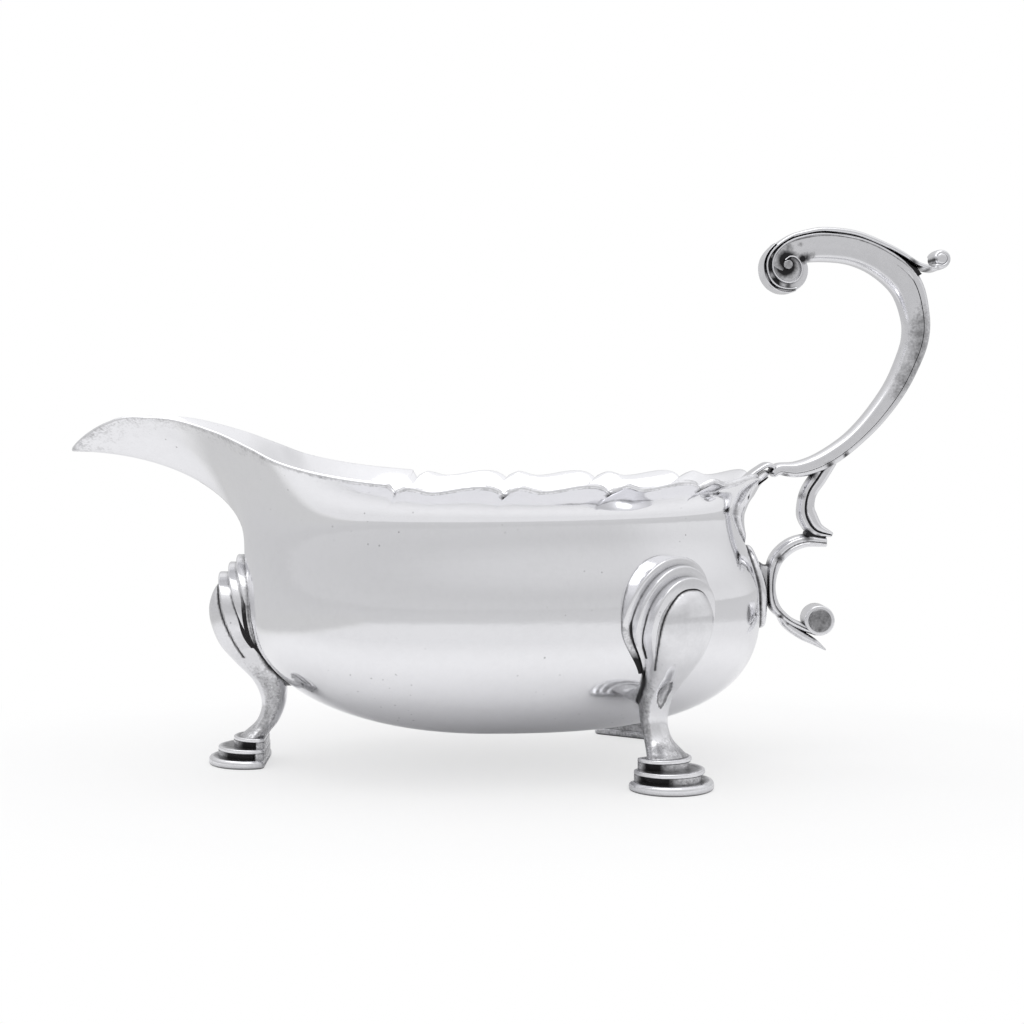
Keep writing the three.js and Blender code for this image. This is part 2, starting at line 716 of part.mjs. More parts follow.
export default group;
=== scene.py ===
"""A silver sauce boat: smooth surfaces worked out with numpy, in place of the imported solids.

Lengths are written in millimetres, as in the part's source, and put into the meshes in metres.
"""
import math

import bpy
import numpy as np
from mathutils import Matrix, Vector


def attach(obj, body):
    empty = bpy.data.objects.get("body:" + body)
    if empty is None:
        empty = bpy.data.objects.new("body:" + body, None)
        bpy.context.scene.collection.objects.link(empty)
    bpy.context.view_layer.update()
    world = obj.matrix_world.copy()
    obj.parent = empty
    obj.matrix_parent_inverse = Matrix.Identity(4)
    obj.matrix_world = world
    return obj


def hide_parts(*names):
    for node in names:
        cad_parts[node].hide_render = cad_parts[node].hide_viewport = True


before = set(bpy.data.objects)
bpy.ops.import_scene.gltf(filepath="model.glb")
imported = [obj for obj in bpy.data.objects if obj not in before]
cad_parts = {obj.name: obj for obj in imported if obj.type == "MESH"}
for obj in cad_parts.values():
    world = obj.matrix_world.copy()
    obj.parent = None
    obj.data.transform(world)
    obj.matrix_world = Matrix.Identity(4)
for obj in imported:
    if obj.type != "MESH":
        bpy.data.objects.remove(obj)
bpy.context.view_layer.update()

MM = 0.001
PI = math.pi
SHARP_ANGLE = math.radians(32)
STUDIO_BLUE = 1.01

# Bowl: its sheet, then heights and distances from the middle of the bottom, belly and neck, the
# powers of the bilge, and the uncut rim
SHEET = 1.2
BOTTOM_X, BOTTOM_Z = 0.1, 7.3
BELLY_Z, BELLY_FRONT, BELLY_REAR, BELLY_HALF = 36.0, 57.1, 53.7, 40.0
NECK_Z, NECK_FRONT, NECK_REAR, NECK_HALF = 53.5, 57.6, 48.9, 37.6
EGG_SHIFT = 11.3
BILGE_SIDE, BILGE_FRONT, BILGE_REAR = 2.35, 2.35, 2.85
RIM_FRONT, RIM_REAR, RIM_HALF = 59.3, 55.7, 43.5
RIM_Z, RIM_REAR_LIFT = 60.8, 1.4
SIDE_FLARE = math.radians(40)

# Border of the rim: lengths along it, depths of the cut, the share of a cut that bends the flare
# down, and the places of the depths in a bay
BAY, BAYS, REAR_ARCH, LEFT_SHIFT = 22.1, 4, 10.5, 2.4
NOTCH, STEP, TROUGH = 1.7, 0.2, 1.1
DIP_SHARE = 0.4
STEP_AT, TROUGH_AT, CREST_AT = 0.09, 0.33, 0.72

# Spout: where it starts, its neck, its rim from there to the tip and one row past it, and the lip
SPOUT_START = math.radians(100)
SPOUT_NECK_Z = 46.6
SPOUT_RIM = [
    (-22.9, 43, 61), (-32.1, 41.4, 62), (-40.5, 38, 63.5), (-48.1, 32.4, 65.6),
    (-54.9, 25.4, 68.6), (-62.9, 18.6, 71.7), (-73.4, 12.5, 74.1), (-84.5, 8.8, 73.6),
    (-94.9, 0, 67.1), (-84.5, -8.8, 73.6),
]
LIP_ARCH, LIP_THINNING = 0.6, 0.58

# Handle: its places are measured from the top of the rim behind the bowl
HANDLE_X, HANDLE_Z = RIM_REAR + 0.5, RIM_Z + RIM_REAR_LIFT - 0.3


def lerp(a, b, t):
    """The value t of the way from a to b."""
    return a + (b - a) * t


def smooth(t):
    """Eased share: three squares less two cubes, held between 0 and 1."""
    t = np.clip(t, 0, 1)
    return t * t * (3 - 2 * t)


def along(rows, t):
    """Catmull-Rom spline through rows of numbers, read at an array of places from 0 to 1."""
    rows = np.asarray(rows, float)
    held = np.vstack([2 * rows[0] - rows[1], rows, 2 * rows[-1] - rows[-2]])
    span = np.clip(t, 0, 1) * (len(rows) - 1)
    i = np.minimum(span.astype(int), len(rows) - 2)
    w = (span - i)[..., None]
    p0, p1, p2, p3 = (held[i + k] for k in range(4))
    m1, m2 = (p2 - p0) / 2, (p3 - p1) / 2
    return (((2 * p1 - 2 * p2 + m1 + m2) * w - 3 * p1 + 3 * p2 - 2 * m1 - m2) * w + m1) * w + p1


def unit(v):
    """Vectors of length one."""
    return v / np.maximum(np.linalg.norm(v, axis=-1, keepdims=True), 1e-12)


def circle(count):
    """Angles at even steps all round."""
    return np.linspace(0, 2 * PI, count, endpoint=False)


def signed_power(v, power):
    """The power of the size of each number, with the number's sign."""
    return np.sign(v) * np.abs(v) ** power


def plan(front, rear, half, theta):
    """Egg-shaped plan: an ellipse whose middle is pushed forwards by the square of the sine."""
    s, c = np.sin(theta), np.cos(theta)
    return (rear - front) / 2 + (rear + front) / 2 * c - EGG_SHIFT * s * s, half * s


def spout_share(theta):
    """Share of the way from the bowl's side to the middle of the spout."""
    return np.clip((np.abs(theta) - SPOUT_START) / (PI - SPOUT_START), 0, 1)


def rim_point(theta):
    """The uncut rim: the egg-shaped plan behind, and the spout's own spline in front, with a small
    arch by a sine between its last row and the tip of the lip."""
    x, y = plan(RIM_FRONT, RIM_REAR, RIM_HALF, theta)
    z = RIM_Z + RIM_REAR_LIFT * np.maximum(0, np.cos(theta)) ** 4
    last = len(SPOUT_RIM) - 2
    lip = along(SPOUT_RIM, spout_share(theta) * last / (last + 1))
    arch = LIP_ARCH * np.sin(PI * np.clip(spout_share(theta) * (last + 1) - last, 0, 1))
    bowl = np.abs(theta) <= SPOUT_START
    return (np.where(bowl, x, lip[..., 0]), np.where(bowl, y, np.sign(theta) * lip[..., 1]),
            np.where(bowl, z, lip[..., 2] + arch))


# Length along the rim, from the handle to the tip of the lip, at each of many angles
RIM_ANGLES = np.linspace(0, PI, 4001)
rim_x, rim_y, _ = rim_point(RIM_ANGLES)
RIM_LENGTHS = np.concatenate([[0], np.cumsum(np.hypot(np.diff(rim_x), np.diff(rim_y)))])
BORDER_END = REAR_ARCH + BAYS * BAY


def border_cut(theta):
    """Depth of the shaped border under the uncut rim: cubic arch behind the handle, then bays that
    each rise from a notch by a square root, dip and rise by cosines and fall to the next notch.
    The left side's border is moved a little towards the handle."""
    length = np.interp(np.abs(theta), RIM_ANGLES, RIM_LENGTHS)
    length = length + np.where(theta > 0, np.minimum(LEFT_SHIFT, length), 0)
    arch = NOTCH * (length / REAR_ARCH) ** 3
    past = (length - BORDER_END) / BAY
    end = NOTCH * np.maximum(0, 1 - past / STEP_AT) ** 1.5
    from_rear = (length - REAR_ARCH) / BAY
    b = 1 - (from_rear - np.floor(from_rear))

    def ease(t):
        return (1 - np.cos(PI * np.clip(t, 0, 1))) / 2

    bay = np.select(
        [b < STEP_AT, b < TROUGH_AT, b < CREST_AT],
        [lerp(NOTCH, STEP, np.sqrt(np.clip(b / STEP_AT, 0, 1))),
         lerp(STEP, TROUGH, ease((b - STEP_AT) / (TROUGH_AT - STEP_AT))),
         lerp(TROUGH, 0, ease((b - TROUGH_AT) / (CREST_AT - TROUGH_AT)))],
        NOTCH * np.clip((b - CREST_AT) / (1 - CREST_AT), 0, 1) ** 2.2)
    return np.select([length < REAR_ARCH, length > BORDER_END], [arch, end], bay)


def bowl_point(theta, level, cut=None):
    """Outside of the bowl. Level 0 to 1 is the bilge, a superellipse from the bottom to the belly;
    1 to 2 the wall, eased from belly to neck; 2 to 3 the flare, an arc from upright to its bend,
    which grows to a right angle at the tip of the lip."""
    cut = border_cut(theta) if cut is None else cut
    belly_x, belly_y = plan(BELLY_FRONT, BELLY_REAR, BELLY_HALF, theta)
    low = np.clip(level, 0, 1)
    end = np.where(np.cos(theta) > 0, BILGE_REAR, BILGE_FRONT)
    p = lerp(BILGE_SIDE, end, np.cos(theta) ** 2)
    s, c = np.sin(low * PI / 2), np.abs(np.cos(low * PI / 2))
    r = (s ** p + c ** p) ** (-1 / p)
    bilge = (lerp(BOTTOM_X, belly_x, s * r), belly_y * s * r, BELLY_Z - (BELLY_Z - BOTTOM_Z) * c * r)
    share = smooth(spout_share(theta))
    neck_x, neck_y = plan(NECK_FRONT, NECK_REAR, NECK_HALF, theta)
    neck_z = lerp(NECK_Z, SPOUT_NECK_Z, share)
    k = smooth(level - 1)
    wall = (lerp(belly_x, neck_x, k), lerp(belly_y, neck_y, k),
            lerp(BELLY_Z, neck_z, np.clip(level - 1, 0, 1)))
    rim = rim_point(theta)
    bend = lerp(SIDE_FLARE, PI / 2, share ** 4)
    rise = np.maximum(0.5, (rim[2] - neck_z) * bend * np.cos(bend) / np.sin(bend))
    high = np.clip(level - 2, 0, None)
    reach = high * (1 - (1 - DIP_SHARE) * cut / rise)
    out = (1 - np.cos(bend * reach)) / (1 - np.cos(bend))
    up = np.sin(bend * reach) / np.sin(bend)
    flare = (lerp(neck_x, rim[0], out), lerp(neck_y, rim[1], out),
             lerp(neck_z, rim[2], up) - DIP_SHARE * cut * high ** 3)
    zones = [np.broadcast_to(level <= 1, theta.shape), np.broadcast_to(level <= 2, theta.shape)]
    return np.stack([np.select(zones, [bilge[i], wall[i]], flare[i]) for i in range(3)], -1)


def bowl_normal(theta, level):
    """Outward unit normal, from the cross product of steps round and up the surface."""
    step = 1e-3
    cut = border_cut(theta)
    low = np.where(level > 2.99, level - step, np.maximum(level, 0.02))
    across = bowl_point(theta + step, low, cut) - bowl_point(theta - step, low, cut)
    up = bowl_point(theta, low + step, cut) - bowl_point(theta, low, cut)
    return unit(np.cross(across, up))


def shell(points, first=None, last=None, mask=None):
    """Closed skin of a grid, rows by columns: the columns close round, each end row closes to a
    pole, and the faces are turned outwards by the sign of the volume inside."""
    rows, cols = points.shape[:2]
    first = points[0].mean(0) if first is None else np.asarray(first, float)
    last = points[-1].mean(0) if last is None else np.asarray(last, float)
    grid = np.arange(rows * cols).reshape(rows, cols)
    turn = np.roll(grid, -1, axis=1)
    quads = np.stack([grid[:-1], turn[:-1], turn[1:], grid[1:]], -1).reshape(-1, 4)
    poles = np.full(cols, rows * cols)
    fans = np.vstack([np.stack([poles, turn[0], grid[0]], -1),
                      np.stack([poles + 1, grid[-1], turn[-1]], -1)])
    verts = np.vstack([points.reshape(-1, 3), first, last])
    tris = np.vstack([quads[:, :3], quads[:, [0, 2, 3]], fans])
    a, b, c = (verts[tris[:, i]] - verts.mean(0) for i in range(3))
    if np.einsum("ij,ij->", a, np.cross(b, c)) < 0:
        quads, fans = quads[:, ::-1], fans[:, ::-1]
    dark = np.zeros((rows, cols)) if mask is None else np.broadcast_to(mask, (rows, cols))
    dark = np.concatenate([dark.ravel(), [dark[0].mean(), dark[-1].mean()]])
    return verts, quads, fans, dark


def new_object(name, data):
    """Object linked to the scene."""
    obj = bpy.data.objects.new(name, data)
    bpy.context.scene.collection.objects.link(obj)
    return obj


def piece(name, shells, node, material):
    """One object of several closed skins, with the share of tarnish and painted shade kept as a vertex
    attribute.
    """
    verts, faces, dark, start = [], [], [], 0
    for v, quads, fans, mask in shells:
        verts.append(v)
        faces += (quads + start).tolist() + (fans + start).tolist()
        dark.append(mask)
        start += len(v)
    mesh = bpy.data.meshes.new(name)
    mesh.from_pydata(np.vstack(verts) * MM, [], faces)
    mesh.attributes.new("patina_and_shade", "FLOAT", "POINT").data.foreach_set(
        "value", np.concatenate(dark).astype(np.float32))
    mesh.polygons.foreach_set("use_smooth", np.ones(len(mesh.polygons), bool))
    mesh.set_sharp_from_angle(angle=SHARP_ANGLE)
    mesh.materials.append(material)
    obj = new_object(name, mesh)
    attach(obj, "root")
    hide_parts(node)


def casting(name, node, *shells):
    """One piece of cast silver that takes the place of a node."""
    piece(name, shells, node, CAST_SILVER)


def add(tree, kind, inputs=(), **settings):
    """The new shader node, with its settings. Each input is named or numbered, and takes a value or
    the output of another node."""
    made = tree.nodes.new("ShaderNode" + kind)
    for key, value in settings.items():
        setattr(made, key, value)
    for key, value in dict(inputs).items():
        if isinstance(value, bpy.types.NodeSocket):
            tree.links.new(value, made.inputs[key])
        else:
            made.inputs[key].default_value = value
    return made


def maths(tree, operation, a, b, clamp=False):
    """Output of a maths node for two numbers, each a value or the output of another node."""
    return add(tree, "Math", {0: a, 1: b}, operation=operation, use_clamp=clamp).outputs[0]


def map_range(tree, value, low, high, to=(0, 1), interpolation="LINEAR"):
    """Output of a map-range node: the value's share of the way from low to high, on another range."""
    inputs = {"Value": value, "From Min": low, "From Max": high, "To Min": to[0], "To Max": to[1]}
    return add(tree, "MapRange", inputs, interpolation_type=interpolation).outputs[0]


def grey_ramp(tree, share, stops, interpolation="LINEAR"):
    """Output of a colour ramp through greys a touch blue, given by stops of place and tone."""
    made = add(tree, "ValToRGB", {0: share})
    made.color_ramp.interpolation = interpolation
    for place, _ in stops[1:-1]:
        made.color_ramp.elements.new(place)
    for element, (place, tone) in zip(made.color_ramp.elements, stops):
        element.position, element.color = place, (tone, tone, tone * STUDIO_BLUE, 1)
    return made.outputs[0]


# Silver: the dark colour of its tarnish and of painted shade, and in metres the width of a dark corner
# of tarnish and painted shade, the depths of scratches and of dents
FILM_AND_SHADE = (0.035, 0.034, 0.036, 1)
CREVICE, SCRATCH_DEPTH, DENT_DEPTH = 0.0022, 0.00004, 0.0004
PIT_SHARE, PIT_TONE, FILM_ROUGHNESS, DENT_STRENGTH = 0.09, 0.45, 0.3, 0.12


def silver(name, base, roughness, grain, recess_tarnish_and_shade, haze):
    """Polished silver: fine crossed scratches, small dents, dark pits, a dark layer of tarnish and
    painted shade where the vertex attribute or a narrow corner calls for it, and a thin uneven haze. In
    narrow corners, found by ambient occlusion, the dark is tarnish and painted shade."""
    mat = bpy.data.materials.new(name)
    mat.use_nodes = True
    tree = mat.node_tree
    place = add(tree, "TexCoord").outputs["Object"]

    def noise(scale, detail, source=place):
        return add(tree, "TexNoise", {"Vector": source, "Scale": scale, "Detail": detail}).outputs["Fac"]

    def streaks(scale, stretch, turn):
        inputs = {"Vector": place, "Scale": stretch, "Rotation": turn}
        return noise(scale, 3, add(tree, "Mapping", inputs).outputs[0])

    def band(value, low, high):
        return map_range(tree, value, low, high)

    def mix(operation, a, b, clamp=False):
        return maths(tree, operation, a, b, clamp)

    upright, level = streaks(700, (1, 1, 0.06), (0.2, 0.5, 0)), streaks(650, (0.07, 1, 1), (0, 0.3, 0.2))
    cells = add(tree, "TexVoronoi", {"Vector": place, "Scale": 420}).outputs["Distance"]
    pits = mix("MULTIPLY", mix("LESS_THAN", cells, PIT_SHARE), band(noise(60, 2), 0.5, 0.66))
    cloud = noise(26, 4)
    # Ambient occlusion darkens narrow corners: tarnish there, and painted shade
    corner = add(tree, "AmbientOcclusion", {"Distance": CREVICE}, samples=8).outputs["AO"]
    crevice_tarnish_and_shade = mix("MULTIPLY", mix("SUBTRACT", 1.0, band(corner, 0.1, 0.75)), recess_tarnish_and_shade)
    # The vertex attribute holds tarnish and painted shade, mottled into the dark layer below
    patina_and_shade = add(tree, "Attribute", attribute_name="patina_and_shade").outputs["Fac"]
    mottle = mix("SUBTRACT", mix("ADD", noise(500, 3), noise(1900, 2)), 1.0)
    uneven = mix("MULTIPLY", mottle, mix("SUBTRACT", 1.1, patina_and_shade))
    mottled_patina_and_shade = band(mix("ADD", patina_and_shade, mix("MULTIPLY", uneven, 0.8)), 0.02, 0.85)
    mottled_patina_and_shade = mix("MULTIPLY", mottled_patina_and_shade, band(patina_and_shade, 0.0, 0.15))
    dull = mix("MULTIPLY", band(mix("ADD", cloud, mottle), 0.35, 0.75), haze)
    film_and_shade = mix("MAXIMUM", crevice_tarnish_and_shade, mix("MAXIMUM", mottled_patina_and_shade, dull), True)
    film_and_shade = mix("MAXIMUM", film_and_shade, mix("MULTIPLY", pits, PIT_TONE), True)
    colour = add(tree, "Mix", {"A": (*base, 1), "B": FILM_AND_SHADE, "Factor": film_and_shade}, data_type="RGBA")
    rough = mix("ADD", mix("MULTIPLY", cloud, roughness * 0.8), roughness * 0.6)
    rough = mix("ADD", rough, mix("MULTIPLY", film_and_shade, FILM_ROUGHNESS), True)
    dents = add(tree, "Bump", {
        "Strength": DENT_STRENGTH, "Distance": DENT_DEPTH, "Height": noise(90, 2)}).outputs[0]
    scratches = add(tree, "Bump", {
        "Strength": grain, "Distance": SCRATCH_DEPTH, "Height": mix("ADD", upright, level),
        "Normal": dents})
    shader = tree.nodes["Principled BSDF"]
    shader.inputs["Metallic"].default_value = 1
    tree.links.new(colour.outputs["Result"], shader.inputs["Base Color"])
    tree.links.new(rough, shader.inputs["Roughness"])
    tree.links.new(scratches.outputs[0], shader.inputs["Normal"])
    return mat


SHEET_SILVER = silver("polished_sheet_silver", (0.93, 0.93, 0.95), 0.1, 0.22, 0.5, 0.02)
CAST_SILVER = silver("polished_cast_silver", (0.86, 0.86, 0.88), 0.15, 0.07, 0.95, 0.05)


# Columns of the bowl: shares of a bay, close behind its notch and even over the rest, and the
# length past the border's end that has close columns
BAY_STEPS = np.sort(1 - np.concatenate([np.linspace(0, 0.12, 9)[:-1], np.linspace(0.12, 1, 30)[:-1]]))
CLOSE_END = 2.5

# Edge of the sheet: the level where the faces' rows end, its thickness as a share of the sheet's,
# the height of its half round, and the patina from the outer face over to the inner one
EDGE_LEVEL, EDGE_SHARE, EDGE_ROUND = 2.93, 0.9, 0.35
EDGE_TONES = [0.2, 0.12, 0.08] + [0.05] * 6
# Faint tarnish under the lip's edge, and painted shade at the notches, a shadow line under and over the
# border's edge
LIP_TONE, NOTCH_SHADE = 0.1, 0.8


def side_columns(shift):
    """Angles along one side of the bowl: steps of rim length with one column at each notch, and
    even steps along the spout."""
    arch, end = REAR_ARCH - shift, BORDER_END - shift
    lengths = [np.linspace(0, arch, 16, endpoint=False)]
    lengths += [arch + (bay + BAY_STEPS) * BAY for bay in range(BAYS)]
    lengths.append(np.linspace(end, end + CLOSE_END, 8)[1:])
    lengths.append(np.linspace(end + CLOSE_END, RIM_LENGTHS[-1], 90)[1:-1])
    return np.interp(np.unique(np.round(np.concatenate(lengths), 6)), RIM_LENGTHS, RIM_ANGLES)


def rim_columns():
    """Angles all round the bowl: the left side, the middle of the spout, and the right side."""
    return np.concatenate([side_columns(LEFT_SHIFT), [PI], -side_columns(0)[1:][::-1]])


def bowl():
    """Raised sheet: the outside rows from the bottom to the rim, a half round over the edge from the
    outer face to the inner one, and the inside rows, one sheet's thickness along the normal. The
    sheet thins towards its edge. The lip has a faint tarnish under its edge; the notches carry painted
    shade, a dark line just under and over the edge."""
    levels = np.concatenate([
        np.linspace(0, 1, 36)[1:], np.linspace(1, 2, 16)[1:], np.linspace(2, EDGE_LEVEL, 24)[1:]])
    theta, level = np.meshgrid(rim_columns(), levels)
    rim = theta[0]
    edge_sheet = SHEET * lerp(EDGE_SHARE, LIP_THINNING, smooth(spout_share(rim) * 1.6))[:, None]
    outside = bowl_point(theta, level)
    thickness = lerp(SHEET, edge_sheet, smooth((level - 2.2) / 0.7)[..., None])
    inside = outside - bowl_normal(theta, level) * thickness
    top = bowl_point(rim, np.full_like(rim, 3.0))
    normal = bowl_normal(rim, np.full_like(rim, 3.0))
    up = unit(top - bowl_point(rim, np.full_like(rim, 2.97)))
    centre = top - normal * edge_sheet / 2 - up * EDGE_ROUND
    turn = np.linspace(0, PI, len(EDGE_TONES))[:, None, None]
    edge = centre + normal * np.cos(turn) * edge_sheet / 2 + up * np.sin(turn) * EDGE_ROUND
    rings = np.concatenate([outside, edge, inside[::-1]])
    # Painted shade at the notches: a dark line just under the edge, and over its outer half
    notch = smooth((border_cut(rim) / NOTCH - 0.6) / 0.4) * (spout_share(rim) == 0)
    lip = smooth((level - 2.7) / 0.3) * smooth(spout_share(theta) * 3 - 0.6)
    mask = np.zeros(rings.shape[:2])
    mask[:len(levels)] = LIP_TONE * lip + notch * smooth((level - 2.84) / 0.09)
    over = NOTCH_SHADE * notch * smooth(1 - turn[:, 0] / 2)
    mask[len(levels):len(levels) + len(turn)] = np.array(EDGE_TONES)[:, None] + over
    return shell(rings, (BOTTOM_X, 0, BOTTOM_Z), (BOTTOM_X, 0, BOTTOM_Z + SHEET), mask)


piece("bowl_sheet", [bowl()], "bowl", SHEET_SILVER)


# Legs: heights from the floor, distances out from the wall of the bowl
ANKLE_Z, KNEE_Z, LEG_ROOT = 4.8, 33.0, 9.0
# Layers of the foot: bottom, riser's height, top, radius, toe, heel
FOOT_LAYERS = [
    (0, 0, 1.8, 8.8, 7.8, 5.0), (1.8, 1.25, 3.9, 7.4, 5.8, 4.9), (3.9, 1.3, 6.0, 5.9, 2.5, 4.8),
]
# Heel's corner, depth of the slots, how deep a riser stands in the layer below, tones in a slot, painted
# shade on the two rows under the lowest layer, and tones on the top of each layer from its edge inwards
HEEL_CORNER, SLOT_DEPTH, RISER_SINK = 1.2, 1.3, 0.15
SLOT_TONES, SOLE_SHADE, TOP_TONES = [1.0, 1.0, 1.0, 1.0, 0.9], [0.5, 0.4], [0.45, 0.62, 0.62, 0.62]
HEEL_TONE = 0.28
# Rows of the stem: share of the height from ankle to knee, outer edge, inner edge, half width
STEM_ROWS = [
    (0.02, 1.5, -4.4, 5.2), (0.045, 1.0, -4.7, 4.8), (0.075, 0, -5.4, 4.2), (0.152, -2.3, -7.1, 3.1),
    (0.255, -3.4, -8.4, 2.85), (0.355, -3.1, -8.9, 3), (0.472, -1.4, -8.8, 3.5),
    (0.6, 2.1, -8.6, 4.3), (0.738, 5.4, -8.6, 5.7), (0.89, 7.2, -8.6, 6.8), (1.01, 7.7, -8.6, 7.0),
    (1.1, 7.3, -8.6, 6.3), (1.17, 6.5, -8, 5.1), (1.215, 5.5, -7.4, 3.9),
]
# Share of the height and place of the stem's top, and its superellipses' powers below and above
STEM_TOP, STEM_POWERS = (1.245, 3.2), (2.0, 2.9)
# Tones low on the ankle, and tarnish with painted shade on the sides of the shank under the knee
ANKLE_TONE, WEB_TARNISH_AND_SHADE = 0.36, 0.4
# Shells of the knee, from the wall outwards: top, foot, half width, face
KNEE_SHELLS = [(44.9, 16.5, 10.8, 1.8), (43.3, 16.5, 9.3, 3.5), (41.2, 16.5, 7.9, 5.6)]
SHELL_LEAN, SHELL_ROUND, SHELL_TAPER, SHELL_STEP = 0.018, 0.011, 0.34, 0.8
# Rings of a shell's root, as shares of its outline, and rows up the side of the outer shells: how
# far out from the face behind, and their tone
ROOT_SHARES = (0.2, 0.4, 0.6, 0.8, 0.92)
SIDE_ROWS = [(-0.3, 1.0), (0.12, 1.0), (0.3, 0.75), (0.5, 0.0)]
# Drop-shaped hollow in the shank: heights of its top and foot, its place sideways at the foot and at
# the top, its half width, its depth, and the painted shade on its edge and inside it
DROP_TOP, DROP_FOOT, DROP_SIDES = 20.8, 15.2, (-0.7, -1.5)
DROP_HALF, DROP_DEPTH, DROP_SHADE = 1.6, 0.35, (0.6, 0.3)
# Where the leg meets the wall: how deep it lies in the sheet, the height from which it is held there,
# and the widths of the dark wedge along it, low down and high up
SUNK, HELD_FROM, WEDGE = 0.5, 16, (2.2, 0.25)


def shell_face(number, y, z):
    """Face of a shell of the knee: it leans back with the square of the distance under its top, and
    bends back with the square of the distance sideways."""
    top, _, _, face = KNEE_SHELLS[number]
    return face - SHELL_LEAN * (top - z) ** 2 - SHELL_ROUND * y * y


def leg_stem():
    """Knee bulb, shank and ankle: superellipses whose outer edge, inner edge and half width are
    splines of the height. A drop-shaped hollow with painted shade is pressed into the front of the
    shank, and the line where the bulb comes out of the last shell is dark. The shank's sides under the
    knee carry tarnish and painted shade."""
    t = np.linspace(0, 1, 150)
    share, outer, inner, half = along(STEM_ROWS, t).T[:, :, None]
    a = circle(132)[None, :]
    power = 2 / lerp(*STEM_POWERS, smooth(share))
    c, s = signed_power(np.cos(a), power), signed_power(np.sin(a), power)
    x = (outer + inner) / 2 + (outer - inner) / 2 * c
    y = half * s
    z = np.broadcast_to(lerp(ANKLE_Z, KNEE_Z, share), x.shape)
    up = (z - DROP_FOOT) / (DROP_TOP - DROP_FOOT)
    ends = np.sqrt(np.clip(up * 4, 0, 1) * np.clip((1 - up) * 3, 0, 1))
    drop_half = lerp(0.5, 1, up) * DROP_HALF * ends
    inside = smooth((drop_half - np.abs(y - lerp(*DROP_SIDES, up))) / 0.5) * (c > 0)
    x = x - DROP_DEPTH * inside
    rows = np.stack([x, y, z], -1)
    mask = np.maximum.reduce([
        np.exp(-((x - shell_face(2, 0, z) - 0.1) / 0.28) ** 2) * (z > 23),
        # Painted shade on the hollow's edge and inside it
        np.where((inside > 0) & (inside < 0.9), DROP_SHADE[0], DROP_SHADE[1] * inside),
        smooth((11 - z) / 5) * ANKLE_TONE,
        # Tarnish and painted shade on the sides of the shank under the knee, in the gap behind it
        smooth((24 - z) / 8) * smooth((np.abs(s) - 0.75) / 0.2) * WEB_TARNISH_AND_SHADE,
    ])
    tip = np.array([STEM_TOP[1], 0, lerp(ANKLE_Z, KNEE_Z, STEM_TOP[0])])
    k = np.linspace(0, PI / 2, 8)[1:-1, None, None]
    top = tip + (rows[-1] - tip) * np.cos(k)
    top[..., 2] = rows[-1, 0, 2] + (tip[2] - rows[-1, 0, 2]) * np.sin(k[..., 0])
    mask = np.concatenate([mask, np.zeros(top.shape[:2])])
    return np.concatenate([rows, top]), (-2, 0, rows[0, 0, 2]), tip, mask


def knee_shell(number):
    """One shell of the knee: a drop-shaped outline, wide above and drawn in below, from the root to
    the face, with a rounded edge. The side is dark where it meets the face of the shell behind."""
    top, foot, half, _ = KNEE_SHELLS[number]
    a = circle(144)
    up = np.sin(a)
    reach = np.where(up > 0, top - KNEE_Z, KNEE_Z - foot)
    taper = 1 - SHELL_TAPER * smooth((-up - 0.12) / 0.62)
    behind = -LEG_ROOT + 1.6 * smooth((21.5 - KNEE_Z - reach * up) / 2)

    def ring(share, drop=0.0):
        y, z = half * np.cos(a) * taper * share, KNEE_Z + reach * up * share
        return np.stack([np.maximum(shell_face(number, y, z) - drop, behind + 0.2), y, z], -1)

    quarter = np.linspace(0, PI / 2, 8)
    edge = [ring(1 - 0.04 * (1 - math.cos(k)), 0.35 * (1 - math.sin(k))) for k in quarter]
    root = ring(1)
    root[:, 0] = behind
    rows = [lerp(ring(s), root, [1, 0, 0]) for s in ROOT_SHARES] + [root]
    tones = [0.0] * len(rows)
    if number:
        face_behind = shell_face(number - 1, root[:, 1], root[:, 2])
        for step, tone in SIDE_ROWS:
            row = root.copy()
            row[:, 0] = np.minimum(face_behind + step, edge[0][:, 0] - 0.02)
            rows.append(row)
            tones.append(tone)
    else:
        rows += [lerp(root, edge[0], s) for s in np.linspace(0.2, 0.9, 12)]
    rows += edge + [ring(s) for s in (0.88, 0.8, 0.7, 0.5, 0.25)]
    tones += [0.0] * (len(rows) - len(tones))
    lower = lerp(0.35, 1, smooth((0.75 - up) / 1.2)) * smooth((up + 1) / 0.16)
    pole = (shell_face(number, 0, KNEE_Z), 0, KNEE_Z)
    return np.array(rows), (-LEG_ROOT, 0, KNEE_Z), pole, np.array(tones)[:, None] * lower


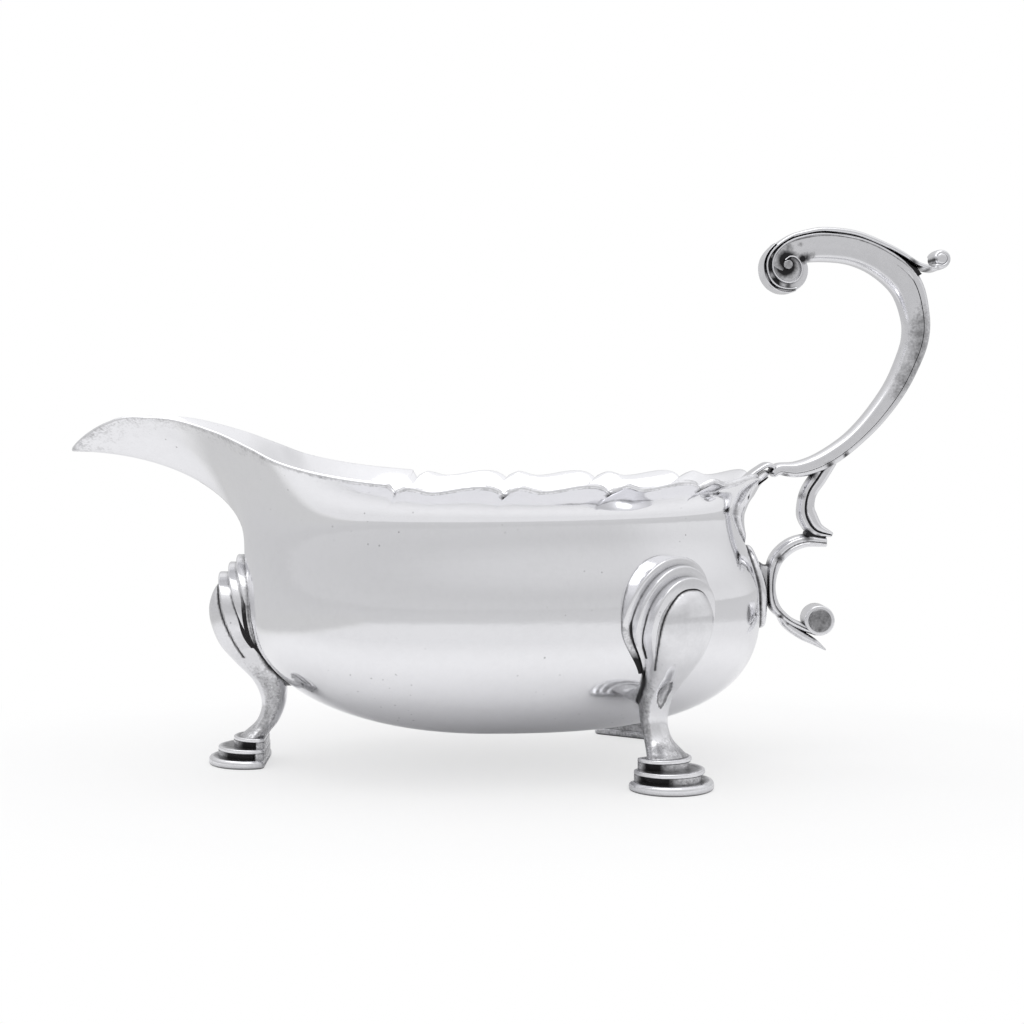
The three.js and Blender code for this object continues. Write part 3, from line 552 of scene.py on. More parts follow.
def foot_layer(bottom, riser, top, radius, toe, heel):
    """One layer of the foot: a round toe and a straight heel with soft corners, on a riser set in
    under its edge all but at the heel and the toe, and a rounded upper edge. The slots are dark, and the
    two bottom rows of the lowest layer carry painted shade."""
    middle = toe - radius
    turn = PI - math.acos(min(1, (heel + middle + HEEL_CORNER) / radius))
    a = np.linspace(-turn, turn, 120)
    along_foot = middle + radius * np.cos(a)
    slot = smooth((along_foot + heel - 1.6) / 0.9) * smooth((toe - along_foot) / 2.6)

    def ring(inset, z, blunt=0.0):
        r = radius - inset * slot - blunt
        past = middle + r * np.cos(a) + heel - blunt
        x = -heel + blunt + (past + np.sqrt(past ** 2 + HEEL_CORNER ** 2)) / 2
        return np.stack([x, r * np.sin(a), np.full_like(a, z)], -1)

    quarter = np.linspace(0, PI / 2, 7)
    lower = bottom + riser
    if riser:
        base, under, over = bottom - RISER_SINK, 0.2, 0.3
        rows = [ring(SLOT_DEPTH, z) for z in (base, base + 0.3)]
        rows += [ring(inset, lower) for inset in (SLOT_DEPTH, 0.9, 0.25)]
        tones = SLOT_TONES
    else:
        base, under, over = bottom, 0.5, 0.75
        # Painted shade on the two bottom rows of the lowest layer, by the ground
        rows, tones = [ring(0, base, 1.2), ring(0, base, 0.5)], SOLE_SHADE
    rows += [ring(0, lower + under * (1 - math.cos(k)), under * (1 - math.sin(k))) for k in quarter]
    rows += [ring(0, top - over * (1 - math.sin(k)), over * (1 - math.cos(k))) for k in quarter]
    rows += [ring(0, top, radius * s) for s in (0.12, 0.2, 0.3, 0.5)]
    tones = tones + [0.3] + [0.0] * (2 * len(quarter) - 1) + TOP_TONES
    in_slot = (np.arange(len(tones)) < len(SLOT_TONES))[:, None] & bool(riser)
    mask = np.array(tones)[:, None] * np.where(in_slot, lerp(0.35, 1, slot), 1.0)
    mask = np.maximum(mask, HEEL_TONE * smooth((1.5 - along_foot - heel) / 1.5))
    return np.array(rows), (0, 0, base), (0, 0, top), mask


def wall_reach(theta, place, ahead, across, side, z):
    """How far out the bowl's wall lies for points at a sideways distance and height of a leg: steps
    in angle and level, from both slopes of the surface, until side and height agree."""
    angle = np.full(side.shape, float(theta))
    level = np.clip(1 + (z - BELLY_Z) / (NECK_Z - BELLY_Z), 0.5, 1.9)

    def local(t, v):
        q = bowl_point(t, v) - place
        return q @ ahead, q @ across, q[..., 2]

    step = 1e-4
    for _ in range(14):
        _, y0, z0 = local(angle, level)
        _, ya, za = local(angle + step, level)
        _, yb, zb = local(angle, level + step)
        ja, jb, jc, jd = (ya - y0) / step, (yb - y0) / step, (za - z0) / step, (zb - z0) / step
        det = ja * jd - jb * jc
        det = np.where(np.abs(det) < 1e-6, 1e-6, det)
        ey, ez = side - y0, z - z0
        angle = angle + np.clip((jd * ey - jb * ez) / det, -0.2, 0.2)
        level = np.clip(level + np.clip((ja * ez - jc * ey) / det, -0.2, 0.2), 0.3, 2.0)
    return local(angle, level)[0]


def leg(name, node, theta, heading, stand_off, stretch):
    """The leg's skins, stretched in height, kept from passing through the wall, then turned to the
    leg's heading and moved to its place on the belly. Where a shell's face would sink into the wall
    it lies on it as a thin step, down to the foot of the shell."""
    ahead = np.array([math.cos(heading), math.sin(heading), 0])
    across = np.array([-math.sin(heading), math.cos(heading), 0])
    place = bowl_point(np.array(float(theta)), np.array(1.0)) * [1, 1, 0] + stand_off * ahead
    shells = [knee_shell(number) for number in range(len(KNEE_SHELLS))]
    feet = [foot_layer(*row) for row in FOOT_LAYERS]
    root_rows = len(ROOT_SHARES) + 1
    skins = []
    for number, (*parts, mask) in enumerate([leg_stem(), *shells, *feet]):
        parts = [np.asarray(p, float) * [1, 1, stretch] for p in parts]
        for part, p in enumerate(parts if number <= len(shells) else []):
            z = p[..., 2]
            wall = wall_reach(theta, place, ahead, across, p[..., 1], z)
            step = np.full(z.shape, -SUNK)
            if number and not part:
                lift = smooth((z[root_rows:] - 17) / 12)
                step[root_rows:] = lerp(-SUNK, SHELL_STEP * (number - 0.4), lift)
            out = np.where(z > HELD_FROM, np.maximum(p[..., 0], wall + step), p[..., 0])
            if not part:
                near = 1 - smooth((out - wall - 0.3) / lerp(*WEDGE, smooth((z - 20) / 6)))
                mask = np.maximum(mask, np.where(z > HELD_FROM - 1, near, 0))
            p[..., 0] = out
        axes = np.array([ahead, across, (0, 0, 1)])
        skins.append(shell(*(place + p @ axes for p in parts), mask))
    casting(name, node, *skins)


# Places of the rear legs round the belly, and the way they point
REAR_ANGLE_RIGHT, REAR_ANGLE_LEFT = math.radians(46.3), math.radians(48.7)
REAR_HEADING = PI / 2 - math.radians(34)
leg("front_leg_cast", "front_leg", PI, PI, 0.5, 1)
leg("rear_leg_right_cast", "rear_leg_right", -REAR_ANGLE_RIGHT, -REAR_HEADING, 1.3, 1.04)
leg("rear_leg_left_cast", "rear_leg_left", REAR_ANGLE_LEFT, REAR_HEADING, 1.3, 1.04)

# Corners of a section: where their curves start along the edges, and the points of each curve
CORNER_CUT, CORNER_POINTS = 0.34, 7
# How far a bar's pole stands past its last ring
POLE_STEP = 0.02


def cushion_section(count, power):
    """Section of a plain bar: a superellipse, as shares of the depth and of the half width."""
    c, s = (signed_power(v, 2 / power) for v in (np.cos(circle(count)), np.sin(circle(count))))
    return np.stack([0.5 - 0.5 * c, s], -1)


def rounded_section(half):
    """Section from its one half, given by corners from the inner edge to the outer one. The half is
    mirrored, and each corner becomes a quadratic curve that starts and ends on its two edges."""
    half = np.asarray(half, float)
    corners = np.vstack([half, (half * [1, -1])[::-1]])
    before = corners + (np.roll(corners, 1, axis=0) - corners) * CORNER_CUT
    after = corners + (np.roll(corners, -1, axis=0) - corners) * CORNER_CUT
    before, corners, after = before[:, None], corners[:, None], after[:, None]
    t = np.linspace(0, 1, CORNER_POINTS)[None, :, None]
    return lerp(lerp(before, corners, t), lerp(corners, after, t), t).reshape(-1, 2)


def groove_tones(section, at, reach, tones):
    """Patina round a section: the tones fall with the distance from a place in its depth."""
    return np.interp(np.abs(section[..., 0] - at), reach, tones)


def with_dark_spots(skin, spots):
    """The skin with dark places added to its mask: each spot has a place in the handle's plane, a
    reach and a tone that eases to nothing at the reach."""
    verts, quads, fans, dark = skin
    dark = dark.copy()
    for x, z, reach, tone in spots:
        far = np.hypot(verts[:, 0] - HANDLE_X - x, verts[:, 2] - HANDLE_Z - z)
        dark = np.maximum(dark, tone * (1 - smooth(far / reach)))
    return verts, quads, fans, dark


def sweep(path, half_width, section, steps, ends=(0.0, 0.0), mask=None, taper=None):
    """Bar in the plane of the handle: its middle and depth are splines through the path, and the
    section, one for all steps or one for each, is set square to it. An end with a radius closes as
    a quarter round."""
    t = np.linspace(0, 1, steps + 1)
    x, z, depth = along(path, t).T
    run = unit((along(path, t + 1e-4) - along(path, t - 1e-4))[:, :2])
    width = np.full(steps + 1, float(half_width)) * (1 if taper is None else taper(t))
    quarter = np.linspace(0, PI / 2, 7)[1:-1]
    start, end = (quarter if radius else quarter[:0] for radius in ends)
    rows = np.concatenate([np.zeros(len(start), int), np.arange(steps + 1), np.full(len(end), steps)])
    scale = np.concatenate([np.cos(start)[::-1], np.ones(steps + 1), np.cos(end)])
    ahead = np.concatenate([-ends[0] * np.sin(start)[::-1], np.zeros(steps + 1), ends[1] * np.sin(end)])
    run = run[rows]
    mid_x = HANDLE_X + x[rows] + run[:, 0] * ahead
    mid_z = HANDLE_Z + z[rows] + run[:, 1] * ahead
    section = np.broadcast_to(section, (steps + 1, *section.shape[-2:]))[rows]
    mask = None if mask is None else np.broadcast_to(mask, (steps + 1, section.shape[1]))[rows]
    off = (section[..., 0] - 0.5) * (depth[rows] * scale)[:, None]
    px = mid_x[:, None] - run[:, 1:] * off
    pz = mid_z[:, None] + run[:, :1] * off
    py = section[..., 1] * (width[rows] * scale)[:, None]
    first = (mid_x[0] - run[0, 0] * POLE_STEP, 0, mid_z[0] - run[0, 1] * POLE_STEP)
    last = (mid_x[-1] + run[-1, 0] * POLE_STEP, 0, mid_z[-1] + run[-1, 1] * POLE_STEP)
    return shell(np.stack([px, py, pz], -1), first, last, mask)


def boss(centre, radius, half_width, edge=0.4, mask=0.0):
    """Round boss across the handle's plane, with quarter-round edges."""
    k = np.linspace(0, PI / 2, 6)
    flat = np.linspace(0.08, 0.9, 14) * (radius - edge)
    r = np.concatenate([flat, radius - edge + edge * np.sin(k)])
    y = np.concatenate([np.full(len(flat), half_width), half_width - edge + edge * np.cos(k)])
    r, y = np.concatenate([r, r[::-1]]), np.concatenate([y, -y[::-1]])
    a = circle(64)
    x = HANDLE_X + centre[0] + r[:, None] * np.cos(a)
    z = HANDLE_Z + centre[1] + r[:, None] * np.sin(a)
    rows = np.stack([x, np.broadcast_to(y[:, None], x.shape), z], -1)
    middle = (HANDLE_X + centre[0], 0, HANDLE_Z + centre[1])
    return shell(rows, np.add(middle, (0, half_width, 0)), np.subtract(middle, (0, half_width, 0)),
                 np.full(x.shape, mask))


# Flying arm: its middle and depth, and its section, plain near the volute and ribbed from there on
ARM_HALF, ARM_STEPS, RIB_START = 3.3, 300, 0.3
ARM_PATH = [
    (1.2, 44.6, 4.4), (2.6, 47.2, 5.2), (5.9, 48.75, 5.6), (11.5, 49.4, 6.1), (17.9, 48.6, 6),
    (23.8, 46, 6.1), (29.2, 41.4, 6.7), (31.35, 35, 5.9), (31.4, 29.5, 5.4), (29.5, 23.9, 5),
    (26.65, 18.3, 4.6), (22.35, 12.5, 4.2), (18, 8, 3.8), (13.9, 4.8, 3.9), (9.6, 2.4, 3.8),
    (5.3, 1.2, 3.4), (1.6, 1.3, 2.6), (0.15, 0.4, 1.9),
]
ARM_INNER = [(0, 0.42), (0.06, 0.7), (0.17, 0.95), (0.5, 1)]
ARM_PLAIN = rounded_section([*ARM_INNER, (0.7, 1), (0.8, 1), (0.88, 1), (0.95, 1), (1, 0.94)])
ARM_RIBBED = rounded_section([*ARM_INNER, (0.68, 1), (0.7, 0.91), (0.72, 0.99), (0.9, 0.93), (1, 0.6)])
ribbed = smooth((np.linspace(0, 1, ARM_STEPS + 1) - RIB_START) / 0.07)[:, None]
arm_section = lerp(ARM_PLAIN, ARM_RIBBED, ribbed[..., None])
arm_mask = groove_tones(arm_section, 0.7, [0, 0.01, 0.02], [0.9, 0.6, 0]) * ribbed
arm_mask += groove_tones(arm_section, 0.895, [0, 0.015, 0.03], [0.6, 0.5, 0]) * (1 - ribbed)

# Volute, its eye, and the middle and thickness of the reeds that wind round it, each one from its
# outer end
VOLUTE, VOLUTE_R, VOLUTE_HALF = (2.75, 44.3), 4.8, 3.2
EYE, EYE_R, EYE_HALF = (3.12, 45.5), 1.04, 4.0
INNER_REED = [
    (17.9, 51.25, 0.6), (14, 51.95, 0.6), (10.9, 52.2, 0.65), (8.2, 51.95, 0.7), (4.65, 51.05, 0.8),
    (2.15, 49.65, 0.9), (0.4, 47.75, 0.9), (-0.25, 45.7, 0.9), (0.15, 43.65, 0.95), (1.6, 42.1, 1.0),
    (3.55, 41.6, 1.0), (5.25, 42.45, 1.05), (6.05, 44.1, 1.05), (5.75, 45.85, 1.0), (4.75, 47.0, 0.9),
    (3.5, 47.2, 0.8), (2.45, 46.5, 0.6),
]
MIDDLE_REED = [
    (7.3, 52.6, 1.1), (4.3, 51.75, 1.15), (1.15, 49.8, 1.1), (-0.75, 47.6, 1.05), (-1.4, 45.3, 1.0),
    (-0.75, 42.6, 1.0), (0.95, 40.85, 1.0), (3.4, 40.25, 0.8), (5.0, 40.5, 0.4),
]
OUTER_REED = [
    (0.5, 50.1, 0.3), (-1.05, 48.4, 0.35), (-1.95, 46.6, 0.4), (-2.15, 44.7, 0.4), (-1.65, 42.6, 0.4),
    (-0.35, 40.85, 0.4), (1.5, 39.75, 0.4), (3.4, 39.55, 0.35), (4.8, 39.9, 0.3),
]
REED_SECTION, REED_ENDS = cushion_section(40, 2.6), (0.2, 0.3)
# Dark spots: place in the handle's plane, reach, tone
VOLUTE_STAINS = [
    (2.6, 45.2, 3.7, 1.7), (-1.6, 45.6, 4.2, 1.3), (1.2, 48.4, 3.0, 1.3), (0.2, 41.4, 2.6, 1.3),
    (3.2, 40.8, 1.4, 0.8), (6.3, 46.7, 1.5, 1.2),
]
# On the arm, the spots from (32.2, 35.5) to (26.6, 18) are painted shade, a dark gradient along its
# outer side
ARM_STAINS_AND_SHADE = [
    (6.3, 46.6, 1.7, 1.3), (7.3, 47.0, 1.6, 0.8), (8.3, 47.3, 1.5, 0.4), (2.9, 46.4, 3.7, 1.4),
    (3.2, 49.2, 1.9, 0.55), (5.9, 49.8, 0.9, 0.5), (32.2, 35.5, 3.2, 0.3), (32.2, 33, 3.6, 0.42),
    (32.1, 30.5, 3.8, 0.5), (31.7, 28, 3.8, 0.52), (31, 25.5, 3.8, 0.5), (29.9, 23, 3.6, 0.45),
    (28.4, 20.5, 3.3, 0.38), (26.6, 18, 3.0, 0.3), (12.3, 2.2, 1.6, 0.85), (15.8, 4.4, 1.1, 0.8),
    (2.6, -0.5, 1.4, 0.9),
]


def reed(path, half_width, steps, widths=(1, 1)):
    """Reed of the volute, whose width changes over the first three tenths of its length."""
    return sweep(path, half_width, REED_SECTION, steps, REED_ENDS,
                 taper=lambda t: lerp(*widths, smooth(t / 0.3)))


casting(
    "flying_arm", "handle_arm",
    with_dark_spots(sweep(ARM_PATH, ARM_HALF, arm_section, ARM_STEPS, (0.6, 0.5), arm_mask), ARM_STAINS_AND_SHADE),
    with_dark_spots(boss(VOLUTE, VOLUTE_R, VOLUTE_HALF, 0.3), VOLUTE_STAINS),
    boss(EYE, EYE_R, EYE_HALF, 0.4, 0.42),
    reed(INNER_REED, 4.1, 360, (0.85, 1)), reed(MIDDLE_REED, 3.66, 240, (1, 1.06)),
    reed(OUTER_REED, 3.7, 200))

# Cap strip with the thumb curl: its middle and depths, the last depth held to the end, the curl's
# turns and how far it tightens, and the dark wedge of painted shade where the strip leaves the arm
CAP_HALF, CAP_THICK = 3.7, 1.3
CAP_PATH = [
    (4.2, 51.7), (7.3, 52.55), (11.5, 53.1), (18.3, 52.25), (24.8, 49.65), (28.3, 47.8),
    (31.6, 45.7), (35, 44.75),
]
CAP_DEPTHS = (1.15, 1.3, 1.4, 1.5, 1.45, 1.35)
CURL, CURL_R = (36.5, 46.9), 1.7
CURL_START, CURL_TURN, CURL_TIGHTENS = -0.66 * PI, 1.5 * PI, 0.25
SHADE_WEDGE_PATH = [
    (26.4, 47.7, 0.3), (28.6, 46.3, 1.0), (30.4, 44.8, 1.7), (31.6, 43.8, 1.5), (32.2, 43.6, 0.5),
]
CAP_STAINS = [(30.2, 45.7, 1.9, 0.9), (33.6, 44.2, 1.1, 0.8), (34.9, 46.6, 0.9, 1.0)]
STRIP_SECTION = cushion_section(44, 2.8)


def cap_rows():
    """Middle and depth of the cap strip: its path, then a curl whose radius shrinks evenly."""
    share = np.linspace(0, 1, 9)
    angle = CURL_START + CURL_TURN * share
    r = (CURL_R * (1 - CURL_TIGHTENS * share))[:, None]
    line = np.vstack([CAP_PATH, CURL + r * np.stack([np.cos(angle), np.sin(angle)], -1)])
    depths = np.full(len(line), CAP_THICK)
    depths[:len(CAP_DEPTHS)] = CAP_DEPTHS
    return np.column_stack([line, depths])


casting(
    "cap_strip", "handle_cap",
    with_dark_spots(sweep(cap_rows(), CAP_HALF, STRIP_SECTION, 300, (0.4, 0.5)), CAP_STAINS),
    with_dark_spots(boss(CURL, CURL_R * 0.85, CAP_HALF * 1.02, 0.9), CAP_STAINS),
    # A fully dark bar: painted shade in the gap where the strip leaves the arm
    sweep(SHADE_WEDGE_PATH, 3.1, REED_SECTION, 60, mask=np.ones((1, 1))))

# Bracket between the arm and the lower scroll, with a groove and two small balls at its foot
BRACKET_PATH = [
    (12.6, 3.2, 3.4), (10.2, -0.6, 3.5), (8.2, -3.65, 3.4), (7.5, -6.7, 3.6), (7.9, -9.2, 4.2),
    (9.6, -11.7, 3.5), (12.9, -12.9, 1.2),
]
BRACKET_HALF, BRACKET_GROOVE = 2.6, 0.42
BRACKET_SECTION = rounded_section([
    (0, 0.55), (0.16, 0.86), (0.33, 0.9), (BRACKET_GROOVE, 0.76), (0.52, 0.95), (0.8, 1), (1, 0.6)])
BRACKET_STAINS = [
    (8.6, 0.2, 2.0, 0.8), (7.6, -12.9, 2.0, 1.0), (9.6, -13.6, 1.4, 0.9), (6.4, -4.5, 1.4, 0.5),
]
BALL_HALF = 2.1
bracket_mask = groove_tones(BRACKET_SECTION, BRACKET_GROOVE, [0, 0.04, 0.09], [0.95, 0.8, 0])
bracket = sweep(BRACKET_PATH, BRACKET_HALF, BRACKET_SECTION, 160, (0, 0.3), bracket_mask)
casting(
    "ogee_bracket", "handle_bracket", with_dark_spots(bracket, BRACKET_STAINS),
    boss((8.5, -13.0), 1.25, BALL_HALF, 0.3, 1.0), boss((10.5, -13.5), 0.8, BALL_HALF, 0.3, 1.0))

# Lower scroll with a groove, its rolled end, the button on that and the spur under it
SCROLL_PATH = [
    (11.7, -14.55, 2.1), (7.1, -14.3, 2.8), (3.4, -15.8, 3), (0.7, -18.9, 2.8), (-0.2, -23.8, 1.9),
    (0.5, -28.3, 2.3), (3.3, -31.2, 1.7), (6.7, -33, 1.6), (9.6, -34.1, 1.4),
]
SCROLL_HALF, SCROLL_GROOVE = 2.8, 0.56
SCROLL_SECTION = rounded_section([
    (0, 0.6), (0.2, 0.96), (0.44, 1), (SCROLL_GROOVE, 0.9), (0.68, 1), (0.85, 0.96), (1, 0.6)])
SCROLL_STAINS = [
    (7.4, -13.0, 1.9, 1.0), (1.4, -17.9, 1.5, 0.8), (-1.4, -19.2, 1.6, 1.0), (-1.6, -28.3, 1.7, 1.0),
    (6.9, -31.6, 1.0, 1.0), (1.6, -30.6, 1.0, 0.9), (8.6, -35, 1.2, 0.9),
]
ROLL, ROLL_R, ROLL_HALF = (10.1, -31.4), 3.25, 3.1
BUTTON_R, BUTTON_PROUD, BUTTON_TONE = 2.5, 0.35, 0.6
SPUR_PATH = [
    (1.2, -29.9, 0.5), (3.0, -32.3, 1.7), (6.1, -34.5, 2.0), (9.2, -36.2, 1.5), (11.5, -37.8, 0.5),
]
SPUR_HALF = 2.3
SPUR_STAINS = [(7.5, -33.9, 1.1, 1.0), (9.4, -35.1, 1.1, 1.0), (3.4, -32, 0.8, 0.7)]
scroll_mask = groove_tones(SCROLL_SECTION, SCROLL_GROOVE, [0, 0.05, 0.1], [0.7, 0.45, 0])
scroll = sweep(SCROLL_PATH, SCROLL_HALF, SCROLL_SECTION, 240, (0.15, 0), scroll_mask)
casting("lower_scroll_cast", "lower_scroll", with_dark_spots(scroll, SCROLL_STAINS),
        boss(ROLL, ROLL_R, ROLL_HALF, 0.35))
casting("roll_button", "scroll_button", boss(ROLL, BUTTON_R, ROLL_HALF + BUTTON_PROUD, 0.3, BUTTON_TONE))
casting("spur_leaf", "scroll_spur",
        with_dark_spots(sweep(SPUR_PATH, SPUR_HALF, STRIP_SECTION, 120, (0.3, 0.2)), SPUR_STAINS))

# Plate on the bowl with its bar: the plate's heights, half width, how far it stands out and how deep
# it lies in the sheet, and how fast the wall falls away sideways
PLATE_TOP, PLATE_FOOT, PLATE_HALF, PLATE_PROUD, PLATE_DEPTH = 46.7, 28.7, 5.9, 1.3, 0.6
WALL_ROUND = 0.0245
BAR_HALF, BAR_HALF_HEIGHT, BAR_WAIST, BAR_Z = 1.8, 4.9, 0.12, -23.8


def rear_wall_x(z):
    """How far back the bowl's rear wall lies at heights near the belly."""
    drop = np.clip((BELLY_Z - z) / (BELLY_Z - BOTTOM_Z), 0, 1)
    below = lerp(BOTTOM_X, BELLY_REAR, (1 - drop ** BILGE_REAR) ** (1 / BILGE_REAR))
    above = lerp(BELLY_REAR, NECK_REAR, smooth((z - BELLY_Z) / (NECK_Z - BELLY_Z)))
    return np.where(z > BELLY_Z, above, below)


def oval_plate():
    """Oval cushion on the bowl: rings that follow the wall, from inside the sheet to a rounded edge
    and a slightly raised face."""
    a = circle(120)
    middle, half = (PLATE_TOP + PLATE_FOOT) / 2, (PLATE_TOP - PLATE_FOOT) / 2

    def ring(share, out):
        y, z = PLATE_HALF * share * np.cos(a), middle + half * share * np.sin(a)
        return np.stack([rear_wall_x(z) - WALL_ROUND * y * y + out, y, z], -1)

    quarter = np.linspace(0, PI / 2, 7)
    face = PLATE_PROUD + 0.1
    side = [ring(1, out) for out in (-PLATE_DEPTH, 0.02, 0.16)]
    edge = [ring(0.9 + 0.1 * math.cos(k), PLATE_PROUD * (0.45 + 0.55 * math.sin(k))) for k in quarter]
    rows = side + edge + [ring(s, face) for s in (0.7, 0.4)]
    mask = np.where(np.arange(len(rows)) < len(side), 0.75, 0)[:, None]
    ends = ((BELLY_REAR + out, 0, middle) for out in (-PLATE_DEPTH, face))
    return shell(np.array(rows), *ends, mask)


def plate_bar():
    """Short bar from the plate to the lower scroll: a superellipse that narrows at its middle."""
    t = np.linspace(0, 1, 14)[:, None]
    a = circle(48)[None, :]
    waist = 1 - BAR_WAIST * np.sin(PI * t)
    y = BAR_HALF * waist * signed_power(np.cos(a), 0.5)
    z = HANDLE_Z + BAR_Z + BAR_HALF_HEIGHT * waist * signed_power(np.sin(a), 0.5)
    x = lerp(BELLY_REAR, HANDLE_X - 0.2, t) + 0 * a
    return shell(np.stack([x, y, z], -1), mask=0.15 + 0.85 * np.sin(a) ** 6)


casting("oval_back_plate", "back_plate", oval_plate(), plate_bar())

# Strap under the rim: half its angle, how far it stands out, how deep it lies in the sheet, the
# levels of its foot and top, and how much it widens towards the rim
STRAP_HALF_ANGLE, STRAP_OUT, STRAP_DEPTH = math.radians(12.5), 1.6, 0.5
STRAP_FOOT, STRAP_TOP = 1 + (PLATE_TOP + 0.6 - BELLY_Z) / (NECK_Z - BELLY_Z), 2.96
STRAP_WIDENS = 0.35


def rim_strap():
    """Strap that follows the bowl from the wall to the rim: from inside the sheet to its outer face,
    with a rounded edge, narrow at its foot and wider at the rim."""
    level = np.linspace(STRAP_FOOT, STRAP_TOP, 44)[:, None]
    risen = np.clip((level - STRAP_FOOT) / (2 - STRAP_FOOT), 0, 1)
    width = (1 + STRAP_WIDENS * np.clip(level - 2, 0, 1) ** 2) * np.sqrt(lerp(0.15, 1, risen))
    k = np.linspace(0, PI / 2, 6)
    side, flat = 1 - 0.06 * (1 - np.cos(k)), np.linspace(-0.9, 0.9, 19)
    share = np.concatenate([[-1], -side, flat, side[::-1], [1]])
    out = np.concatenate([[0], 0.9 * np.sin(k), np.ones(len(flat)), 0.9 * np.sin(k)[::-1], [0]])
    angle = STRAP_HALF_ANGLE * share[None, :] * width
    levels = level + 0 * angle
    normal = bowl_normal(angle, levels)
    rise = level - STRAP_FOOT
    proud = np.sin(np.clip(rise * 14, 0, PI / 2)) * lerp(0.5, 1, smooth(rise / 0.6))
    proud = proud * lerp(0.25, 1, smooth((STRAP_TOP - level) / 0.45))
    outer = bowl_point(angle, levels) + normal * (STRAP_OUT * out[None, :] * proud)[..., None]
    inner = bowl_point(angle, levels) - normal * STRAP_DEPTH
    dark = np.interp(out, [0, 0.3, 0.6], [0.5, 0.3, 0])
    rows = np.concatenate([outer, inner[:, ::-1]], axis=1)
    return shell(rows, mask=np.concatenate([dark, dark])[None, :])


casting("rear_rim_strap", "rear_strap", rim_strap())

# Tongue over the rim: half widths along and across it, and its distance from the sheet
TONGUE_THICK_HALF, TONGUE_HALF, TONGUE_GAP = 0.55, 3.4, 0.3


def rim_tongue():
    """Tongue on the inside of the flare: a flat bar that rises beside the rim and goes over it."""
    away = TONGUE_GAP + TONGUE_THICK_HALF
    angle, levels = np.zeros(5), np.linspace(2.5, 3, 5)
    skin, normal = bowl_point(angle, levels), bowl_normal(angle, levels)
    inside = (skin - normal * (SHEET + away))[:, [0, 2]]
    edge_x, _, edge_z = skin[-1] - normal[-1] * SHEET
    over = [[edge_x + TONGUE_THICK_HALF, edge_z + away], [HANDLE_X + 0.4, edge_z + TONGUE_GAP]]
    points = np.vstack([inside, over]) - [HANDLE_X, HANDLE_Z]
    rows = np.column_stack([points, np.full(len(points), 2 * TONGUE_THICK_HALF)])
    return sweep(rows, TONGUE_HALF, cushion_section(40, 3.5), 80, (0.5, 0))


casting("tongue_over_rim", "rim_tongue", rim_tongue())

# Table: half its side, where it fades out, the least share of glowing white, painted light over the
# boat's shadow, for the camera, and the glowing tones that the silver mirrors, by distance and far to
# the left
TABLE_REACH, TABLE_FADE, TABLE_LEAST_GLOW = 3.0, (0.06, 0.17), 0.64
TABLE_TONES = [(0.0, 0.8), (0.222, 0.8), (0.24, 0.63), (1.0, 0.6)]
LEFT_FADE, LEFT_TONE = (-0.15, -0.1), 0.63


def table_material():
    """Pale table: a matt white that fades into pure white away from the boat. The white is a glow,
    painted light, which for the camera also lightens the boat's shadow near it.
    The silver mirrors the table bright near the boat and, through a glow of painted reflection, greyer
    far off and to the left."""
    mat = bpy.data.materials.new("pale_table")
    mat.use_nodes = True
    tree = mat.node_tree
    tree.nodes.clear()
    place = add(tree, "TexCoord").outputs["Object"]
    path = add(tree, "LightPath").outputs
    to_camera = path["Is Camera Ray"]
    flat = add(tree, "VectorMath", {0: place, 1: (1, 1.5, 0)}, operation="MULTIPLY").outputs[0]
    far = add(tree, "VectorMath", {0: flat}, operation="LENGTH").outputs["Value"]
    fade = map_range(tree, far, *TABLE_FADE, interpolation="SMOOTHSTEP")
    distance = add(tree, "VectorMath", {0: place}, operation="LENGTH").outputs["Value"]
    split = add(tree, "SeparateXYZ", {0: place}).outputs
    left = map_range(tree, split["X"], *LEFT_FADE, (LEFT_TONE, 1))
    tone = grey_ramp(tree, distance, TABLE_TONES)
    mirrored = add(tree, "VectorMath", {0: tone, 1: left}, operation="MINIMUM").outputs[0]
    shown = add(tree, "Mix", {"Factor": to_camera, "A": mirrored, "B": (1, 1, 1, 1)}, data_type="RGBA")
    # Emission: painted light on the table for the camera, and a painted reflection for the silver
    white = add(tree, "Emission", {"Color": shown.outputs["Result"]}).outputs[0]
    matt = add(tree, "BsdfDiffuse", {"Color": (0.9, 0.9, 0.9, 1)}).outputs[0]
    seen = maths(tree, "MAXIMUM", to_camera, path["Is Glossy Ray"])
    least = maths(tree, "MULTIPLY", to_camera, TABLE_LEAST_GLOW)
    share = maths(tree, "MULTIPLY", maths(tree, "MAXIMUM", fade, least), seen)
    blend = add(tree, "MixShader", {0: share, 1: matt, 2: white}).outputs[0]
    add(tree, "OutputMaterial", {"Surface": blend})
    return mat


def table():
    """Flat square on the ground."""
    mesh = bpy.data.meshes.new("table")
    corners = [(x * TABLE_REACH, y * TABLE_REACH, 0) for x, y in ((-1, -1), (1, -1), (1, 1), (-1, 1))]
    mesh.from_pydata(corners, [], [(0, 1, 2, 3)])
    mesh.materials.append(table_material())
    new_object("table", mesh)


# Room: its tones by height, and how much brighter it grows to the right
ROOM_TONES = [(0.0, 0.64), (0.03, 0.63), (0.2, 0.61), (0.45, 0.7), (0.7, 0.92), (1.0, 1.0)]
RIGHT_FADE, RIGHT_GAIN = (0.72, 0.97), 1.2


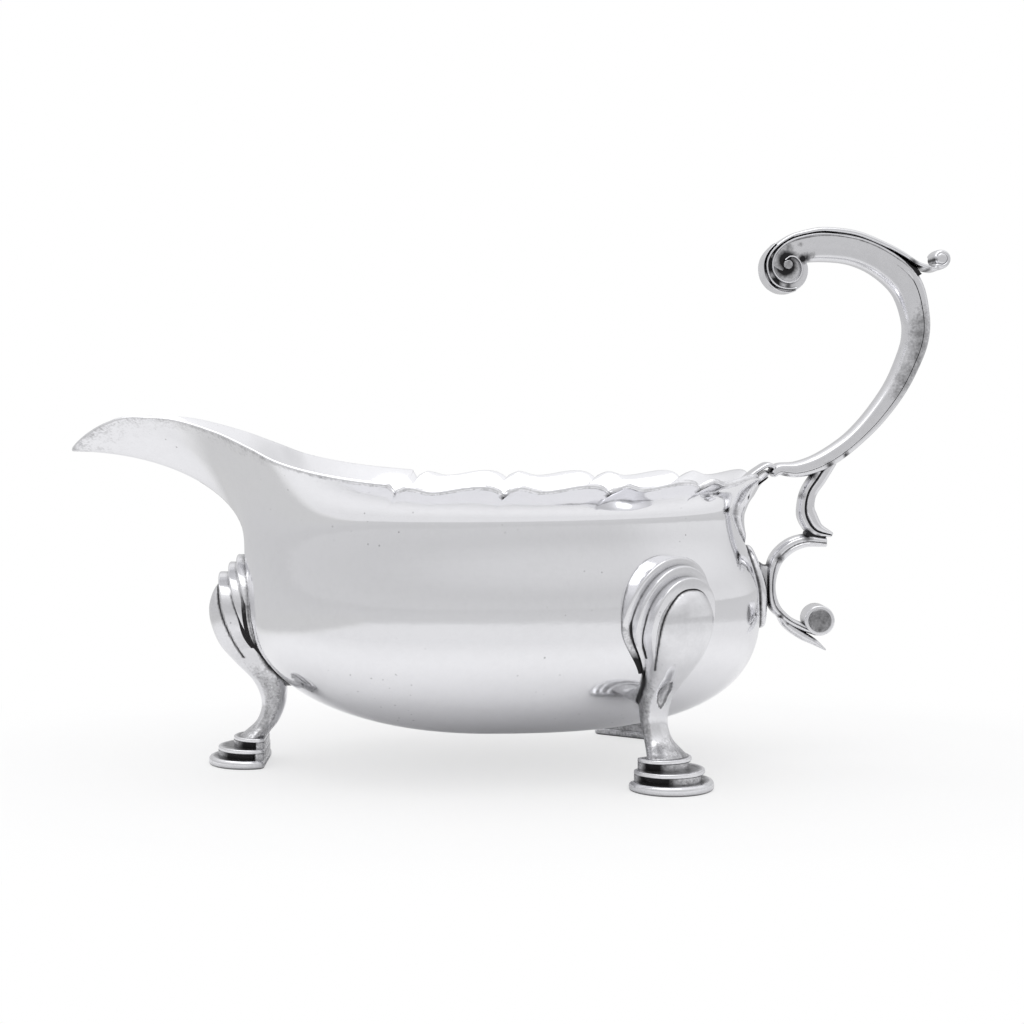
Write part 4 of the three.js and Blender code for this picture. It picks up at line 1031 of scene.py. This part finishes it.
def studio():
    """White room: grey at eye level, brighter above and to the right, pure white for the camera."""
    world = bpy.data.worlds.new("studio")
    bpy.context.scene.world = world
    world.use_nodes = True
    tree = world.node_tree
    tree.nodes.clear()
    split = add(tree, "SeparateXYZ", {0: add(tree, "TexCoord").outputs["Generated"]}).outputs
    right = map_range(tree, split["X"], *RIGHT_FADE, (1, RIGHT_GAIN), "SMOOTHSTEP")
    tone = grey_ramp(tree, split["Z"], ROOM_TONES, "EASE")
    lit = add(tree, "VectorMath", {0: tone, "Scale": right}, operation="SCALE").outputs[0]
    room = add(tree, "Background", {"Color": lit}).outputs[0]
    white = add(tree, "Background", {"Color": (1, 1, 1, 1)}).outputs[0]
    to_camera = add(tree, "LightPath").outputs["Is Camera Ray"]
    blend = add(tree, "MixShader", {0: to_camera, 1: room, 2: white}).outputs[0]
    add(tree, "OutputWorld", {0: blend})


def overhead_lamp():
    """Soft rectangular lamp above the boat, a little to the left, that faces it."""
    lamp = bpy.data.lights.new("overhead", "AREA")
    lamp.shape, lamp.energy = "RECTANGLE", 1.2
    lamp.size, lamp.size_y = 0.7, 0.5
    obj = new_object("overhead", lamp)
    obj.location = (-0.1, -0.05, 0.6)
    obj.rotation_euler = (Vector((0, 0, 0.03)) - obj.location).to_track_quat("-Z", "Y").to_euler()


# Camera: in pixels the photo's side, the focal length and the eye level's rise over the middle
PHOTO, FOCAL, EYE_RISE = 1024, 1800, 101
SENSOR, CAMERA_AT, CAMERA_TURN = 36, (-0.01035, -0.38989, 0.0758), math.radians(1.5)


def camera():
    """Camera at the photo's place: level, shifted down, and turned a little to the handle."""
    data = bpy.data.cameras.new("camera")
    data.sensor_width = SENSOR
    data.lens = SENSOR * FOCAL / PHOTO
    data.shift_y = -EYE_RISE / PHOTO
    data.clip_start, data.clip_end = 0.01, 20
    obj = new_object("camera", data)
    obj.location = CAMERA_AT
    aim = Vector((math.sin(CAMERA_TURN), math.cos(CAMERA_TURN), 0))
    obj.rotation_euler = aim.to_track_quat("-Z", "Y").to_euler()
    bpy.context.scene.camera = obj


camera()
table()
studio()
overhead_lamp()
bpy.context.scene.view_settings.view_transform = "Standard"
